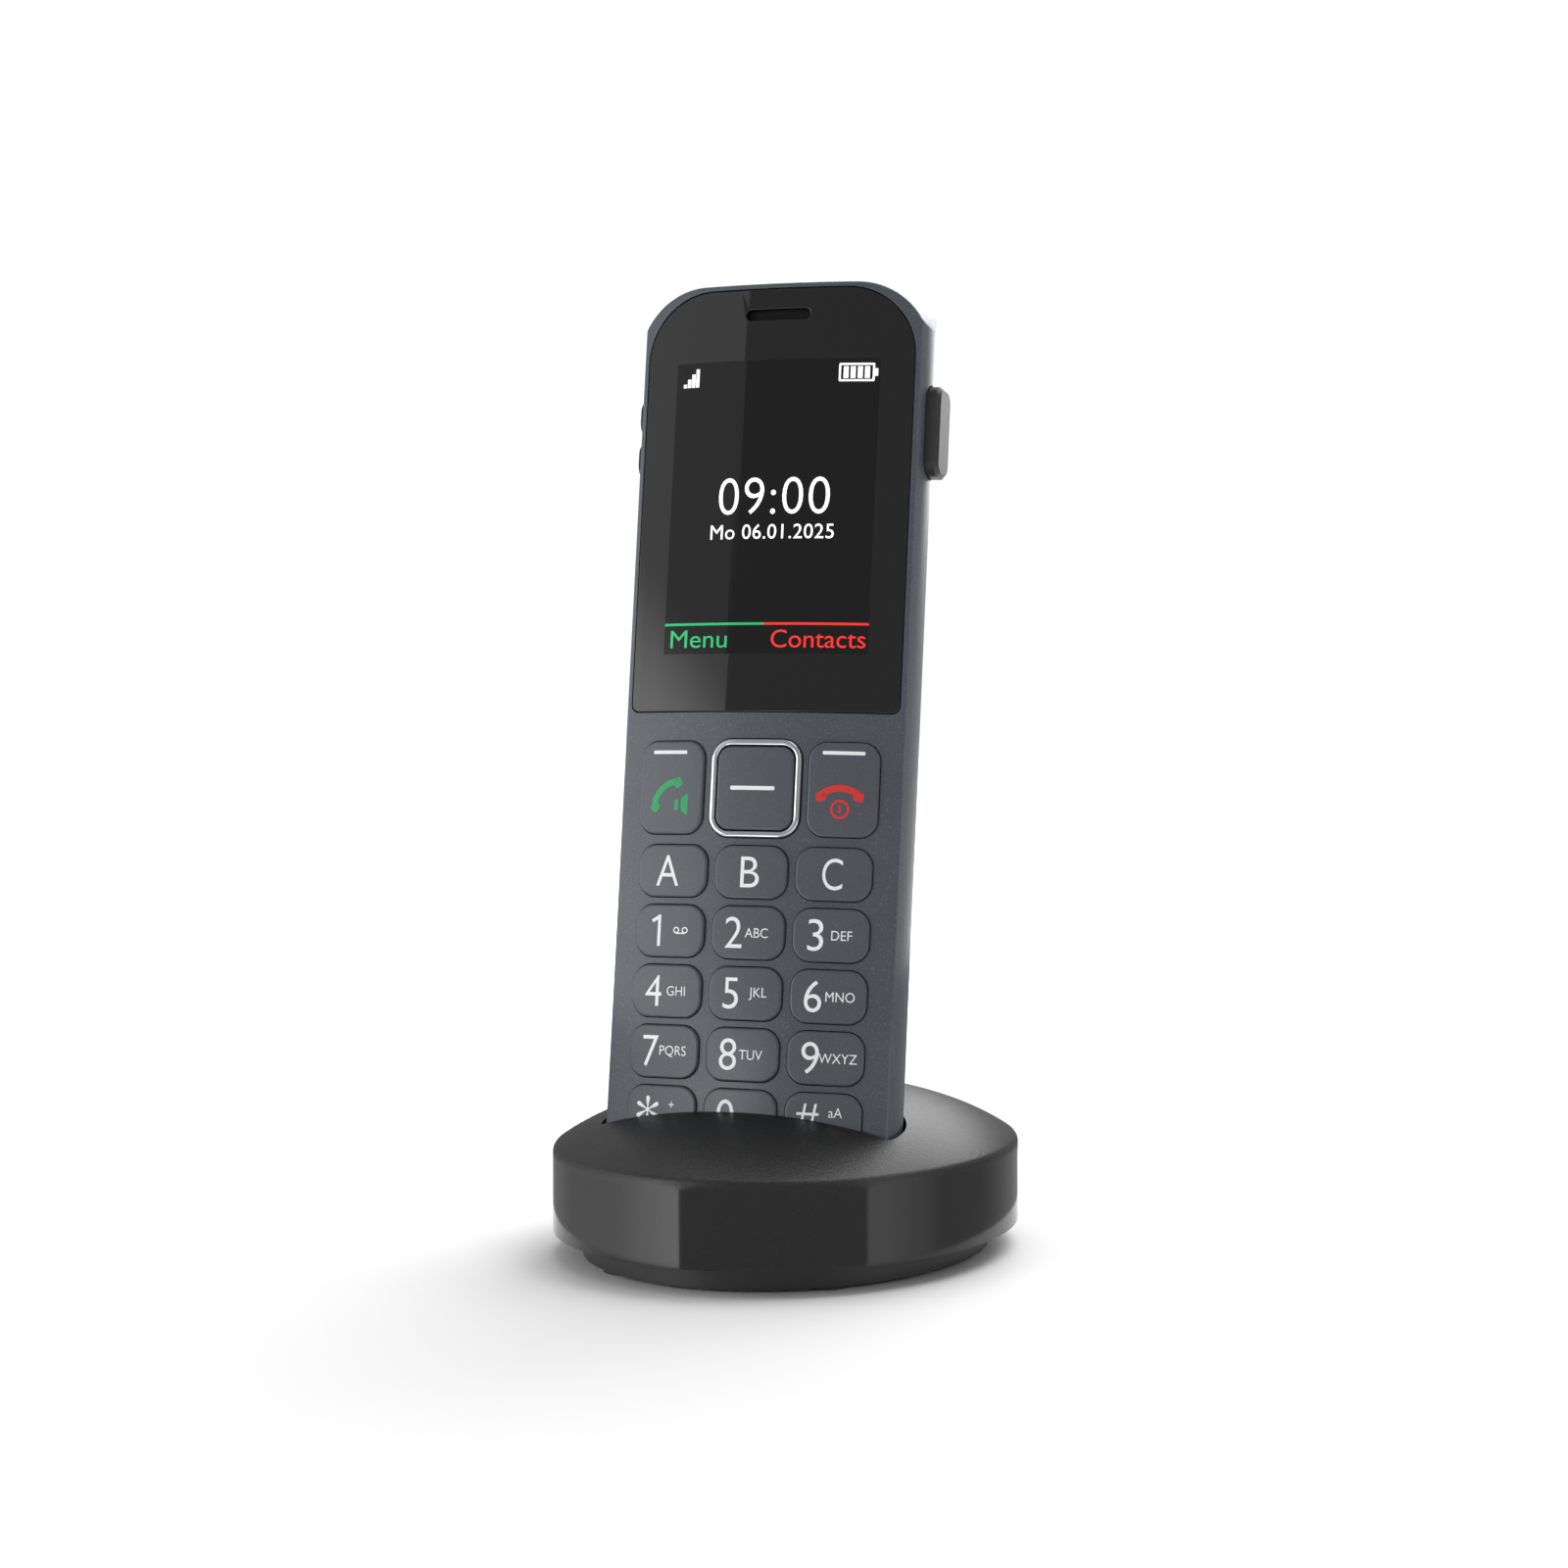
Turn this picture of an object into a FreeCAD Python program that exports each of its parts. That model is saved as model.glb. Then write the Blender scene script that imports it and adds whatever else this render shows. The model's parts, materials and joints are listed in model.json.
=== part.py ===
import FreeCAD, Part
import math
import os
import re
import Sketcher

# A cordless handset leaning in its oval charging cradle, as separate pieces.
# Millimetres, +Z up, the front towards -Y, and the origin on the table at the middle of
# the cradle. The handset is drawn in a frame of its own, with X across, Y from the middle
# of its face to its back and Z from its bottom end to its top, and then leant back in the
# cradle's socket.

vector = FreeCAD.Vector
document = FreeCAD.newDocument("cordless_phone")
sheet = document.addObject("Spreadsheet::Sheet", "size")

sizes = {
    # handset, overall
    "handset_width": 51.6,
    "handset_length": 155.5,
    "handset_depth": 24,
    "face_margin": 0.85,
    "face_crown": 122,
    "flank_radius": 12,
    "top_corner": 13,
    "back_corner": 6.5,
    "bottom_corner": 9,
    "end_round": 7,
    "rim_round": 0.5,
    "wall": 2,
    "parting_depth": 13,
    "seam": 0.12,
    "flank_margin": 0.5,
    "back_margin": 0.5,
    "back_bow": 0.5,
    # how the handset stands in the cradle
    "lean": 8.07,
    "face_line": -28,
    "seat_length": 12.4,
    "socket_gap": 0.7,
    # cradle
    "cradle_width": 78.8,
    "cradle_length": 95.4,
    "rim_height": 18.6,
    "dome_height": 10.2,
    "dome_spread": 1.2,
    "rim_fillet": 1.6,
    "skirt_height": 4.5,
    "foot_inset": 5.1,
    "cradle_wall": 2,
    "socket_wall": 1.6,
    "base_rise": 0.5,
    "base_floor": 1.9,
    "flange": 1.7,
    "fit_gap": 0.2,
    "pad_diameter": 9,
    "pad_height": 1.3,
    "pad_place_x": 17,
    "pad_place_y": 31,
    "boss_diameter": 6,
    "boss_front_y": -38,
    "boss_rear_x": 24,
    "boss_rear_y": 26,
    "screw_diameter": 2.2,
    "screw_head": 5,
    "screw_reach": 9,
    "screw_slack": 0.4,
    "shank_slack": 0.3,
    "screw_sink": 0.4,
    "pilot_spare": 1,
    "inlet_diameter": 6.4,
    "inlet_bore": 5.5,
    "inlet_pin": 1.65,
    "inlet_height": 11,
    "inlet_depth": 10,
    "inlet_block": 9,
    "inlet_set_back": 0.6,
    "inlet_nose": 0.3,
    "inlet_web": 0.5,
    "inlet_lead": 2,
    # keys
    "key_margin": 4.17,
    "key_spacing": 1.43,
    "key_height": 8.9,
    "key_corner": 3.1,
    "key_rise": 0.6,
    "key_edge": 0.4,
    "key_gap": 0.15,
    "key_travel": 0.6,
    "key_depth": 4.4,
    "row_pitch": 10.18,
    "first_row": 13.7,
    "call_margin": 3.65,
    "call_spacing": 1.2,
    "call_key_height": 15.9,
    "call_row": 68.6,
    "ring_width": 16.2,
    "ring_height": 16.7,
    "ring_corner": 3.6,
    "ring_band": 1.15,
    "ring_edge": 0.5,
    # display
    "window_side": 0.85,
    "window_bottom": 81.6,
    "window_rim": 1,
    "window_corner": 12,
    "window_foot_corner": 1.5,
    "window_thick": 1.2,
    "window_edge": 0.25,
    "window_gap": 0.12,
    "screen_side": 5.75,
    "screen_head": 12.4,
    "screen_foot": 9.9,
    "screen_margin": 2,
    "screen_corner": 1,
    "module_corner": 0.6,
    "display_depth": 2.9,
    "display_thick": 2.4,
    "frame_thick": 1,
    "frame_reach": 6.2,
    "frame_end": 1.5,
    "frame_corner": 1.5,
    "frame_step": 1.3,
    "slot_width": 11.5,
    "slot_height": 1.8,
    "slot_drop": 5.5,
    "slot_flat": 0.02,
    "window_shelf": 1.6,
    # inside the handset
    "mat_thick": 1,
    "mat_inset": 0.5,
    "mat_corner": 3,
    "mat_spare": 1,
    "dome_sheet_thick": 0.25,
    "snap_dome": 6,
    "board_thick": 1,
    "board_side": 5.3,
    "board_bottom": 7.5,
    "board_head": 9,
    "board_corner": 6,
    "layer_gap": 0.05,
    "shield_height": 1.8,
    "cell_diameter": 10.5,
    "cell_length": 44.5,
    "cell_gap": 0.7,
    "bay_start": 31,
    "bay_slack": 0.4,
    "bay_wall": 1.1,
    "contact_room": 3,
    "cover_side": 4.65,
    "cover_start": 27,
    "cover_spare": 8.5,
    "cover_thick": 1.6,
    "cover_gap": 0.2,
    "ledge_width": 1.5,
    "ledge_thick": 1.2,
    "ledge_drop": 1,
    "cell_nub": 1,
    "cell_nub_diameter": 4,
    "tab_thick": 0.4,
    "tab_width": 8,
    "shield_width": 28,
    "shield_length": 19,
    "shield_wall": 0.3,
    "shield_gap": 3,
    "antenna_width": 24,
    "antenna_thick": 0.5,
    "antenna_height": 6,
    "antenna_end": 2,
    "speaker_diameter": 20,
    "speaker_height": 4.2,
    "speaker_drop": 33.5,
    "speaker_gap": 2.1,
    "magnet_diameter": 12,
    "grille_pitch": 2.4,
    "grille_width": 14,
    "grille_step": 1.6,
    "grille_slot": 1.1,
    "grille_corner": 0.5,
    "receiver_width": 14,
    "receiver_height": 6,
    "receiver_depth": 2.6,
    "receiver_corner": 2.9,
    "receiver_gap": 0.6,
    "mesh_gap": 0.1,
    "microphone_diameter": 4,
    "microphone_height": 1.8,
    "microphone_gap": 0.1,
    "mouth_margin": 2.1,
    "mouth_bore": 1.2,
    "post_diameter": 4.4,
    "screw_thread": 1.6,
    "well_diameter": 3.4,
    "head_depth": 16,
    "case_head": 1.3,
    "pilot_start": 7,
    "pilot_end_gap": 0.5,
    "head_slack": 0.3,
    "foot_screw_x": 13,
    "foot_screw_z": 4.8,
    "top_screw_side": 9.3,
    "top_screw_drop": 6.7,
    # side keys
    "side_key_length": 15.6,
    "side_key_width": 7,
    "side_key_rise": 2.2,
    "side_key_stem": 3.2,
    "side_key_drop": 25.1,
    "side_key_depth": 8.5,
    "rocker_length": 13.2,
    "rocker_width": 4.6,
    "rocker_rise": 1,
    "side_gap": 0.25,
    "side_key_corner": 2.6,
    "side_key_edge": 0.7,
    "rocker_corner": 2,
    "rocker_bump": 5.7,
    "rocker_axis": 1.5,
    "rocker_pivot": 1.6,
    # charging contacts
    "contact_spread": 7,
    "contact_depth": 6,
    "charge_pad": 3.6,
    "charge_flange": 0.6,
    "charge_flange_width": 0.6,
    "pin_diameter": 1.6,
    "pin_length": 5,
    "pin_clearance": 0.06,
    "pin_guide": 0.05,
    "carrier_height": 4.2,
    "socket_pin_gap": 0.15,
    "contact_board_width": 32,
    "contact_board_front": 24,
    "contact_board_back": 23,
    "board_lift": 0.5,
    "stand_width": 3,
    "stand_x": 13,
    "stand_front": 22,
    "stand_back": 20,
    "carrier_margin": 3,
    "carrier_web": 0.5,
}

# what follows from the sizes
worked_out = {
    "face_width": "handset_width - 2 * face_margin",
    "key_width": "(face_width - 2 * (key_margin + key_spacing)) / 3",
    "column_pitch": "key_width + key_spacing",
    "call_key_width": "(face_width - ring_width) / 2 - call_margin - call_spacing",
    "call_key_place": "(ring_width + call_key_width) / 2 + call_spacing",
    "window_width": "face_width - 2 * window_side",
    "window_top": "handset_length - window_rim",
    "window_height": "window_top - window_bottom",
    "window_middle": "(window_top + window_bottom) / 2",
    "screen_width": "window_width - 2 * screen_side",
    "screen_height": "window_height - screen_head - screen_foot",
    "screen_middle": "window_bottom + screen_foot + screen_height / 2",
    "slot_place": "handset_length - slot_drop",
    "board_width": "handset_width - 2 * board_side",
    "board_top": "handset_length - board_head",
    "bay_width": "2 * (cell_diameter + bay_slack) + cell_gap",
    "bay_end": "bay_start + cell_length + 2 * contact_room",
    "cover_width": "bay_width + 2 * (bay_wall + cover_side)",
    "cover_length": "bay_end + cover_spare - cover_start",
    "cover_end": "cover_start + cover_length",
    "cell_y": "handset_depth - cover_thick - bay_slack - back_bow - cell_diameter / 2",
    "bay_y": "cell_y - cell_diameter / 2 - bay_slack",
    "top_screw_x": "handset_width / 2 - top_screw_side",
    "top_screw_z": "handset_length - top_screw_drop",
    "speaker_place": "handset_length - speaker_drop",
    "side_key_place": "handset_length - side_key_drop",
    "frame_side": "frame_reach - 2 * wall",
    "mouth_place": "wall + mouth_margin",
}

for row, (name, value) in enumerate(sizes.items(), 1):
    sheet.set(f"A{row}", name)
    sheet.set(f"B{row}", str(value))
    sheet.setAlias(f"B{row}", name)
document.recompute()

pieces = []


def sized(text):
    # An expression in which each size's name points at the sheet.
    def look_up(match):
        word = match[0]
        if word in worked_out:
            return f"({sized(worked_out[word])})"
        return "size." + word if word in sizes else word
    return re.sub(r"[a-z]\w*", look_up, str(text))


def number(text):
    return float(sheet.evalExpression(sized(text)))


def bind(item, **expressions):
    # Ties an object's properties to expressions; a double underscore stands for a dot.
    for name, text in expressions.items():
        item.setExpression(name.replace("__", "."), sized(text))


def place(item, x=0, y=0, z=0):
    bind(item, Placement__Base__x=x, Placement__Base__y=y, Placement__Base__z=z)


# how a point of the handset's frame lies in the cradle's
lean_y = "(face_line + seat_length * sin(lean * 1 deg))"
lean_z = "(seat_length * cos(lean * 1 deg))"


def lean_back(item):
    # Leans something drawn in the handset's frame back in the socket.
    item.Placement = FreeCAD.Placement(vector(0, 0, 0), FreeCAD.Rotation(vector(-1, 0, 0), sizes["lean"]))
    bind(item, Placement__Rotation__Angle="lean * 1 deg")
    place(item, 0, lean_y, lean_z)
    return item


def keep(item, label, leaning=True):
    # Counts an object as a finished piece of the phone.
    if item.TypeId in ("Part::Box", "Part::Cylinder"):
        item = group(item.Name + "_piece", item)
    item.Label = label
    if leaning:
        lean_back(item)
    pieces.append(item)
    return item


# ---- basic shapes ----

def box(name, x0, x1, y0, y1, z0, z1):
    item = document.addObject("Part::Box", name)
    bind(item, Length=f"({x1}) - ({x0})", Width=f"({y1}) - ({y0})", Height=f"({z1}) - ({z0})")
    place(item, x0, y0, z0)
    return item


def cylinder(name, diameter, length, x, y, z, axis=(0, 0, 1)):
    item = document.addObject("Part::Cylinder", name)
    item.Placement = FreeCAD.Placement(vector(0, 0, 0), FreeCAD.Rotation(vector(0, 0, 1), vector(*axis)))
    bind(item, Radius=f"({diameter}) / 2", Height=length)
    place(item, x, y, z)
    return item


def oval(name, half_x, half_y, z0, z1):
    # An upright oval block, longer along Y than along X.
    rim = document.addObject("Part::Ellipse", name + "_rim")
    rim.Placement = FreeCAD.Placement(vector(0, 0, 0), FreeCAD.Rotation(vector(0, 0, 1), 90))
    bind(rim, MajorRadius=half_y, MinorRadius=half_x)
    place(rim, 0, 0, z0)
    item = document.addObject("Part::Extrusion", name)
    item.Base = rim
    item.DirMode = "Custom"
    item.Dir = vector(0, 0, 1)
    item.Solid = True
    bind(item, LengthFwd=f"({z1}) - ({z0})")
    return item


def cut(name, base, *tools):
    item = document.addObject("Part::Cut", name)
    item.Base = base
    item.Tool = tools[0] if len(tools) == 1 else together(name + "_tools", *tools)
    return item


def common(name, base, tool):
    item = document.addObject("Part::Common", name)
    item.Base = base
    item.Tool = tool
    return item


def together(name, *parts):
    item = document.addObject("Part::MultiFuse", name)
    item.Shapes = list(parts)
    return item


def group(name, *parts):
    # Separate solids kept as one piece.
    item = document.addObject("Part::Compound", name)
    item.Links = list(parts)
    return item


# ---- sketches ----

def new_sketch(body, role, lift=0):
    # A sketch on one of the body's own origin planes, lifted along its normal.
    sketch = body.newObject("Sketcher::SketchObject", body.Name + "_outline")
    planes = [o for o in body.Origin.OriginFeatures if o.Role == role]
    sketch.AttachmentSupport = [(planes[0], "")]
    sketch.MapMode = "FlatFace"
    bind(sketch, AttachmentOffset__Base__z=lift)
    return sketch


def draw(sketch, points, arcs):
    # A closed outline through points given as expressions. arcs gives the radius of the
    # side that starts at a point; a negative one curves the other way.
    spots = [vector(number(x), number(y), 0) for x, y in points]
    sides = []
    ends = []
    for i, start in enumerate(spots):
        end = spots[(i + 1) % len(spots)]
        if i not in arcs:
            sides.append(Part.LineSegment(start, end))
            ends.append((1, 2))
            continue
        radius, turn = arcs[i]
        radius = number(radius)
        chord = end - start
        height = math.sqrt(max(radius ** 2 - chord.Length ** 2 / 4, 0))
        centre = (start + end) * 0.5 + vector(-chord.y, chord.x, 0).normalize() * height * turn
        first = math.atan2(start.y - centre.y, start.x - centre.x)
        last = math.atan2(end.y - centre.y, end.x - centre.x)
        if turn < 0:
            first, last = last, first
        if last < first:
            last += 2 * math.pi
        sides.append(Part.ArcOfCircle(Part.Circle(centre, vector(0, 0, 1), radius), first, last))
        ends.append((1, 2) if turn > 0 else (2, 1))
    ids = sketch.addGeometry(sides)
    constraints = []
    bound = []
    for i, spot in enumerate(spots):
        before = i - 1
        constraints.append(Sketcher.Constraint("Coincident", ids[before], ends[before][1], ids[i],
                                               ends[i][0]))
    for i, spot in enumerate(spots):
        for kind, value, text in (("DistanceX", spot.x, points[i][0]), ("DistanceY", spot.y, points[i][1])):
            bound.append((len(constraints), text))
            constraints.append(Sketcher.Constraint(kind, ids[i], ends[i][0], value))
    for i, (radius, turn) in arcs.items():
        bound.append((len(constraints), radius))
        constraints.append(Sketcher.Constraint("Radius", ids[i], number(radius)))
    sketch.addConstraint(constraints)
    for index, text in bound:
        sketch.setExpression(f"Constraints[{index}]", sized(text))


def rounded_rectangle(sketch, x, z, width, height, corner, foot_corner=None):
    left = f"{x} - ({width}) / 2"
    right = f"{x} + ({width}) / 2"
    low = f"{z} - ({height}) / 2"
    high = f"{z} + ({height}) / 2"
    foot = foot_corner or corner
    points = [
        (f"{left} + {foot}", low), (f"{right} - ({foot})", low),
        (right, f"{low} + {foot}"), (right, f"{high} - ({corner})"),
        (f"{right} - ({corner})", high), (f"{left} + {corner}", high),
        (left, f"{high} - ({corner})"), (left, f"{low} + {foot}"),
    ]
    draw(sketch, points, {1: (foot, 1), 3: (corner, 1), 5: (corner, 1), 7: (foot, 1)})


def plate(name, x, z, width, height, corner, y0, y1, foot_corner=None):
    # A rounded rectangle seen from the front, from depth y0 to depth y1.
    body = document.addObject("PartDesign::Body", name)
    sketch = new_sketch(body, "XZ_Plane", f"-({y0})")
    rounded_rectangle(sketch, x, z, width, height, corner, foot_corner)
    pad = body.newObject("PartDesign::Pad", name + "_pad")
    pad.Profile = sketch
    pad.Reversed = True
    bind(pad, Length=f"({y1}) - ({y0})")
    return body


def side_plate(name, y, z, width, height, corner, x0, x1):
    # A rounded rectangle seen from the side, from x0 to x1.
    body = document.addObject("PartDesign::Body", name)
    sketch = new_sketch(body, "YZ_Plane", x0)
    rounded_rectangle(sketch, y, z, width, height, corner)
    pad = body.newObject("PartDesign::Pad", name + "_pad")
    pad.Profile = sketch
    bind(pad, Length=f"({x1}) - ({x0})")
    return body


def section_bar(name, inset):
    # A long bar with the handset's cross-section, drawn in by inset: a crowned face, a
    # crease along each edge of it, round flanks and a crowned back.
    flank = f"(flank_radius - ({inset}))"
    crease_x = f"(face_width / 2 - ({inset}))"
    crease_y = f"({inset} + face_crown - sqrt(face_crown ^ 2 - {crease_x} ^ 2))"
    hub_x = f"(handset_width / 2 - ({inset}) - {flank})"
    hub_y = f"({crease_y} + sqrt({flank} ^ 2 - ({crease_x} - {hub_x}) ^ 2))"
    behind = f"(handset_depth - ({inset}) - {hub_y})"
    back = f"(({hub_x} ^ 2 + {behind} ^ 2 - {flank} ^ 2) / (2 * ({behind} - {flank})))"
    join_x = f"({back} * {hub_x} / ({back} - {flank}))"
    back_y = f"(handset_depth - ({inset}) - {back})"
    join_y = f"({back_y} + {back} * ({hub_y} - {back_y}) / ({back} - {flank}))"
    body = document.addObject("PartDesign::Body", name)
    sketch = new_sketch(body, "XY_Plane", f"{inset} - wall * 3")
    points = [(f"-{crease_x}", crease_y), (crease_x, crease_y), (join_x, join_y), (f"-{join_x}", join_y)]
    draw(sketch, points, {0: ("face_crown", 1), 1: (flank, 1), 2: (back, 1), 3: (flank, 1)})
    pad = body.newObject("PartDesign::Pad", name + "_pad")
    pad.Profile = sketch
    bind(pad, Length="handset_length + wall * 6")
    return body


def handset_form(name, inset):
    # The handset's outer form drawn in by inset, or let out where that is negative. Its top
    # corners are widest at the face and get tighter towards the back.
    outline = document.addObject("PartDesign::Body", name + "_front")
    profiles = []
    for depth in ("(-wall * 3)", "(handset_depth + wall * 3)"):
        corner = f"(top_corner + (back_corner - top_corner) * {depth} / handset_depth - ({inset}))"
        profile = new_sketch(outline, "XZ_Plane", f"-{depth}")
        rounded_rectangle(profile, 0, "handset_length / 2", f"handset_width + 2 * (flank_margin - ({inset}))",
                          f"handset_length - 2 * ({inset})", corner, f"(bottom_corner - ({inset}))")
        profiles.append(profile)
    loft = outline.newObject("PartDesign::AdditiveLoft", name + "_loft")
    loft.Profile = profiles[0]
    loft.Sections = profiles[1:]
    loft.Ruled = True
    ends = document.addObject("PartDesign::Body", name + "_ends")
    sketch = new_sketch(ends, "YZ_Plane", "-handset_width")
    back = f"(handset_depth + back_margin - ({inset}))"
    bend = f"(end_round - ({inset}))"
    top = f"(handset_length - ({inset}))"
    points = [("-wall * 3", inset), (f"{back} - {bend}", inset), (back, f"{inset} + {bend}"),
              (back, f"{top} - {bend}"), (f"{back} - {bend}", top), ("-wall * 3", top)]
    draw(sketch, points, {1: (bend, 1), 3: (bend, 1)})
    pad = ends.newObject("PartDesign::Pad", name + "_ends_pad")
    pad.Profile = sketch
    bind(pad, Length="handset_width * 2")
    return common(name, common(name + "_sides", section_bar(name + "_section", inset), outline), ends)


def rounded(name, base, radius, chosen):
    # Fillets the edges that the test picks.
    document.recompute()
    item = document.addObject("Part::Fillet", name)
    item.Base = base
    size = number(radius)
    item.Edges = [(i, size, size) for i, edge in enumerate(base.Shape.Edges, 1) if chosen(edge)]
    return item


def on_face(rise):
    # Picks edges that lie in the crowned face, at a height above it.
    crown = number("face_crown")

    def test(edge):
        spots = [edge.valueAt(edge.FirstParameter + (edge.LastParameter - edge.FirstParameter) * t)
                 for t in (0, 0.31, 0.73, 1)]
        return all(abs(math.hypot(p.x, p.y - crown + rise) - crown) < 0.01 for p in spots)
    return test


# ---- handset housings ----

form = rounded("handset_outer", handset_form("handset_body", 0), "rim_round", on_face(0))
cavity = handset_form("handset_cavity", "wall")
front_zone = box("front_zone", "-handset_width", "handset_width", "-wall", "parting_depth",
                 "-wall", "handset_length + wall")
rear_zone = box("rear_zone", "-handset_width", "handset_width", "parting_depth + seam",
                "handset_depth + wall", "-wall", "handset_length + wall")



def window_plate(name, gap, y0, y1):
    return plate(name, 0, "window_middle", f"window_width + 2 * ({gap})", f"window_height + 2 * ({gap})",
                 "window_corner", y0, y1, "window_foot_corner")


keys = {}
rows = [("star", "0", "hash"), ("7", "8", "9"), ("4", "5", "6"), ("1", "2", "3"), ("a", "b", "c")]
for row, names in enumerate(rows):
    for column, key_name in enumerate(names):
        keys["key_" + key_name] = (f"{column - 1} * column_pitch", f"first_row + {row} * row_pitch",
                                   "key_width", "key_height", "key_corner")
keys["key_talk"] = ("-call_key_place", "call_row", "call_key_width", "call_key_height", "key_corner")
keys["key_end"] = ("call_key_place", "call_row", "call_key_width", "call_key_height", "key_corner")
ring = ("0", "call_row", "ring_width", "ring_height", "ring_corner")
centre_key = ("0", "call_row", "(ring_width - 2 * (ring_band + key_gap))",
              "(ring_height - 2 * (ring_band + key_gap))", "(ring_corner - ring_band - key_gap)")


def key_plate(name, shape, gap, y0, y1):
    x, z, width, height, corner = shape
    return plate(name, x, z, f"{width} + 2 * ({gap})", f"{height} + 2 * ({gap})", f"({corner} + ({gap}))", y0,
                 y1)


holes = [key_plate(name + "_hole", shape, "key_gap", "-wall", "key_depth + wall")
         for name, shape in list(keys.items()) + [("ring", ring)]]
window_seat = common("window_seat", window_plate("window_recess", "window_gap", "-wall", "wall * 2"),
                     cut("seat_layer", section_bar("seat_outer", "-wall / 2"),
                         section_bar("seat_inner", "window_thick")))
screen_opening = plate("screen_opening", 0, "screen_middle", "screen_width + screen_margin",
                       "screen_height + screen_margin", "screen_corner", "0", "wall + display_depth")
ear_opening = plate("ear_opening", 0, "slot_place", "slot_width", "slot_height",
                    "(slot_height - slot_flat) / 2",
                    "-wall", "wall * 2")
mouth_hole = cylinder("mouth_hole", "mouth_bore", "wall * 3", 0, "-wall", "mouth_place", (0, 1, 0))
side_key_hole = side_plate("side_key_hole", "side_key_depth", "side_key_place",
                           "side_key_width + 2 * side_gap", "side_key_length + 2 * side_gap",
                           "(side_key_corner + side_gap)", "handset_width / 2 - wall * 2",
                           "handset_width / 2 + wall")
rocker_hole = side_plate("rocker_hole", "side_key_depth", "side_key_place", "rocker_width + 2 * side_gap",
                         "rocker_length + 2 * side_gap", "(rocker_corner + side_gap)",
                         "-handset_width / 2 - wall",
                         "-handset_width / 2 + wall * 2")
charge_holes = [cylinder(f"charge_hole_{i}", "charge_pad", "wall * 2", f"{i} * contact_spread",
                         "contact_depth",
                         "-wall / 2") for i in (-1, 1)]
front_shell = cut("front_shell", common("front_half", form, front_zone), cavity, window_seat, screen_opening,
                  ear_opening, mouth_hole, side_key_hole, rocker_hole, *charge_holes, *holes)

cover_opening = box("cover_opening", "-cover_width / 2", "cover_width / 2", "parting_depth",
                    "handset_depth + wall", "cover_start", "cover_end")
under_cover = handset_form("under_cover", "cover_thick + cover_gap")
bay_block = common("bay_block", under_cover, box(
    "bay_outside", "-bay_width / 2 - bay_wall", "bay_width / 2 + bay_wall", "bay_y - bay_wall",
    "handset_depth", "cover_start", "cover_end"))
bay_hollow = box("bay_hollow", "-bay_width / 2", "bay_width / 2", "bay_y", "handset_depth + wall",
                 "bay_start", "bay_end")
ledge = cut("ledge", common("ledge_block", under_cover, box(
    "ledge_outside", "-cover_width / 2 - ledge_width", "cover_width / 2 + ledge_width",
    "parting_depth + ledge_drop",
    "handset_depth", "cover_start - ledge_width", "cover_end + ledge_width")),
    handset_form("ledge_inside", "cover_thick + cover_gap + ledge_thick"),
    box("ledge_window", "-cover_width / 2 + ledge_width", "cover_width / 2 - ledge_width", "parting_depth",
        "handset_depth", "cover_start + ledge_width", "cover_end - ledge_width"))
grille = [plate(f"grille_slot_{i}", 0, f"speaker_place + {i} * grille_pitch",
                f"(grille_width - {abs(i)} * grille_step)", "grille_slot", "grille_corner",
                "handset_depth - wall * 3", "handset_depth + wall") for i in range(-3, 4)]
handset_screws = [(f"{side} * {x}", z)
                  for x, z in (("foot_screw_x", "foot_screw_z"), ("top_screw_x", "top_screw_z"))
                  for side in (-1, 1)]
under_window = "(window_thick + window_shelf)"
screw_posts = [cylinder(f"post_{i}", "post_diameter", "handset_depth - parting_depth", x, "parting_depth",
                        z, (0, 1, 0))
               for i, (x, z) in enumerate(handset_screws)]
posts = common("rear_posts", together("posts", *screw_posts), form)
head_wells = [cylinder(f"well_{i}", "well_diameter", "handset_depth", x, "head_depth", z, (0, 1, 0))
              for i, (x, z) in enumerate(handset_screws)]
shank_holes = [cylinder(f"shank_hole_{i}", "screw_thread + shank_slack", "handset_depth", x,
                        "parting_depth - wall", z, (0, 1, 0))
               for i, (x, z) in enumerate(handset_screws)]
rear_skin = cut("rear_skin", common("rear_half", form, rear_zone), cavity, cover_opening)
rear_shell = cut("rear_shell", together("rear_walls", rear_skin, bay_block, ledge, posts), bay_hollow,
                 *grille, *head_wells, *shank_holes)
front_posts = [cylinder(f"front_post_{i}", "post_diameter", f"parting_depth - {under_window}", x,
                        under_window, z, (0, 1, 0))
               for i, (x, z) in enumerate(handset_screws)]
pilots = [cylinder(f"pilot_{i}", "screw_thread", "parting_depth - pilot_start", x, "pilot_start", z,
                   (0, 1, 0))
          for i, (x, z) in enumerate(handset_screws)]
keep(cut("front_housing_solid", together("front_walls", front_shell, *front_posts), *pilots), "front_housing")
keep(rear_shell, "rear_housing")

# ---- window, display and earpiece ----

clear_layer = cut("clear_layer", section_bar("clear_outer", 0), section_bar("clear_inner", "window_thick"))
clear_slot = plate("clear_slot", 0, "slot_place", "slot_width", "slot_height",
                   "(slot_height - slot_flat) / 2",
                   "-wall", "wall * 2")
clear_blank = cut("clear_blank", common("clear_sheet", window_plate("clear_outline", 0, "-wall", "wall * 2"),
                                        clear_layer), clear_slot)
keep(rounded("clear_window", clear_blank, "window_edge", on_face(0)), "display_window")

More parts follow.
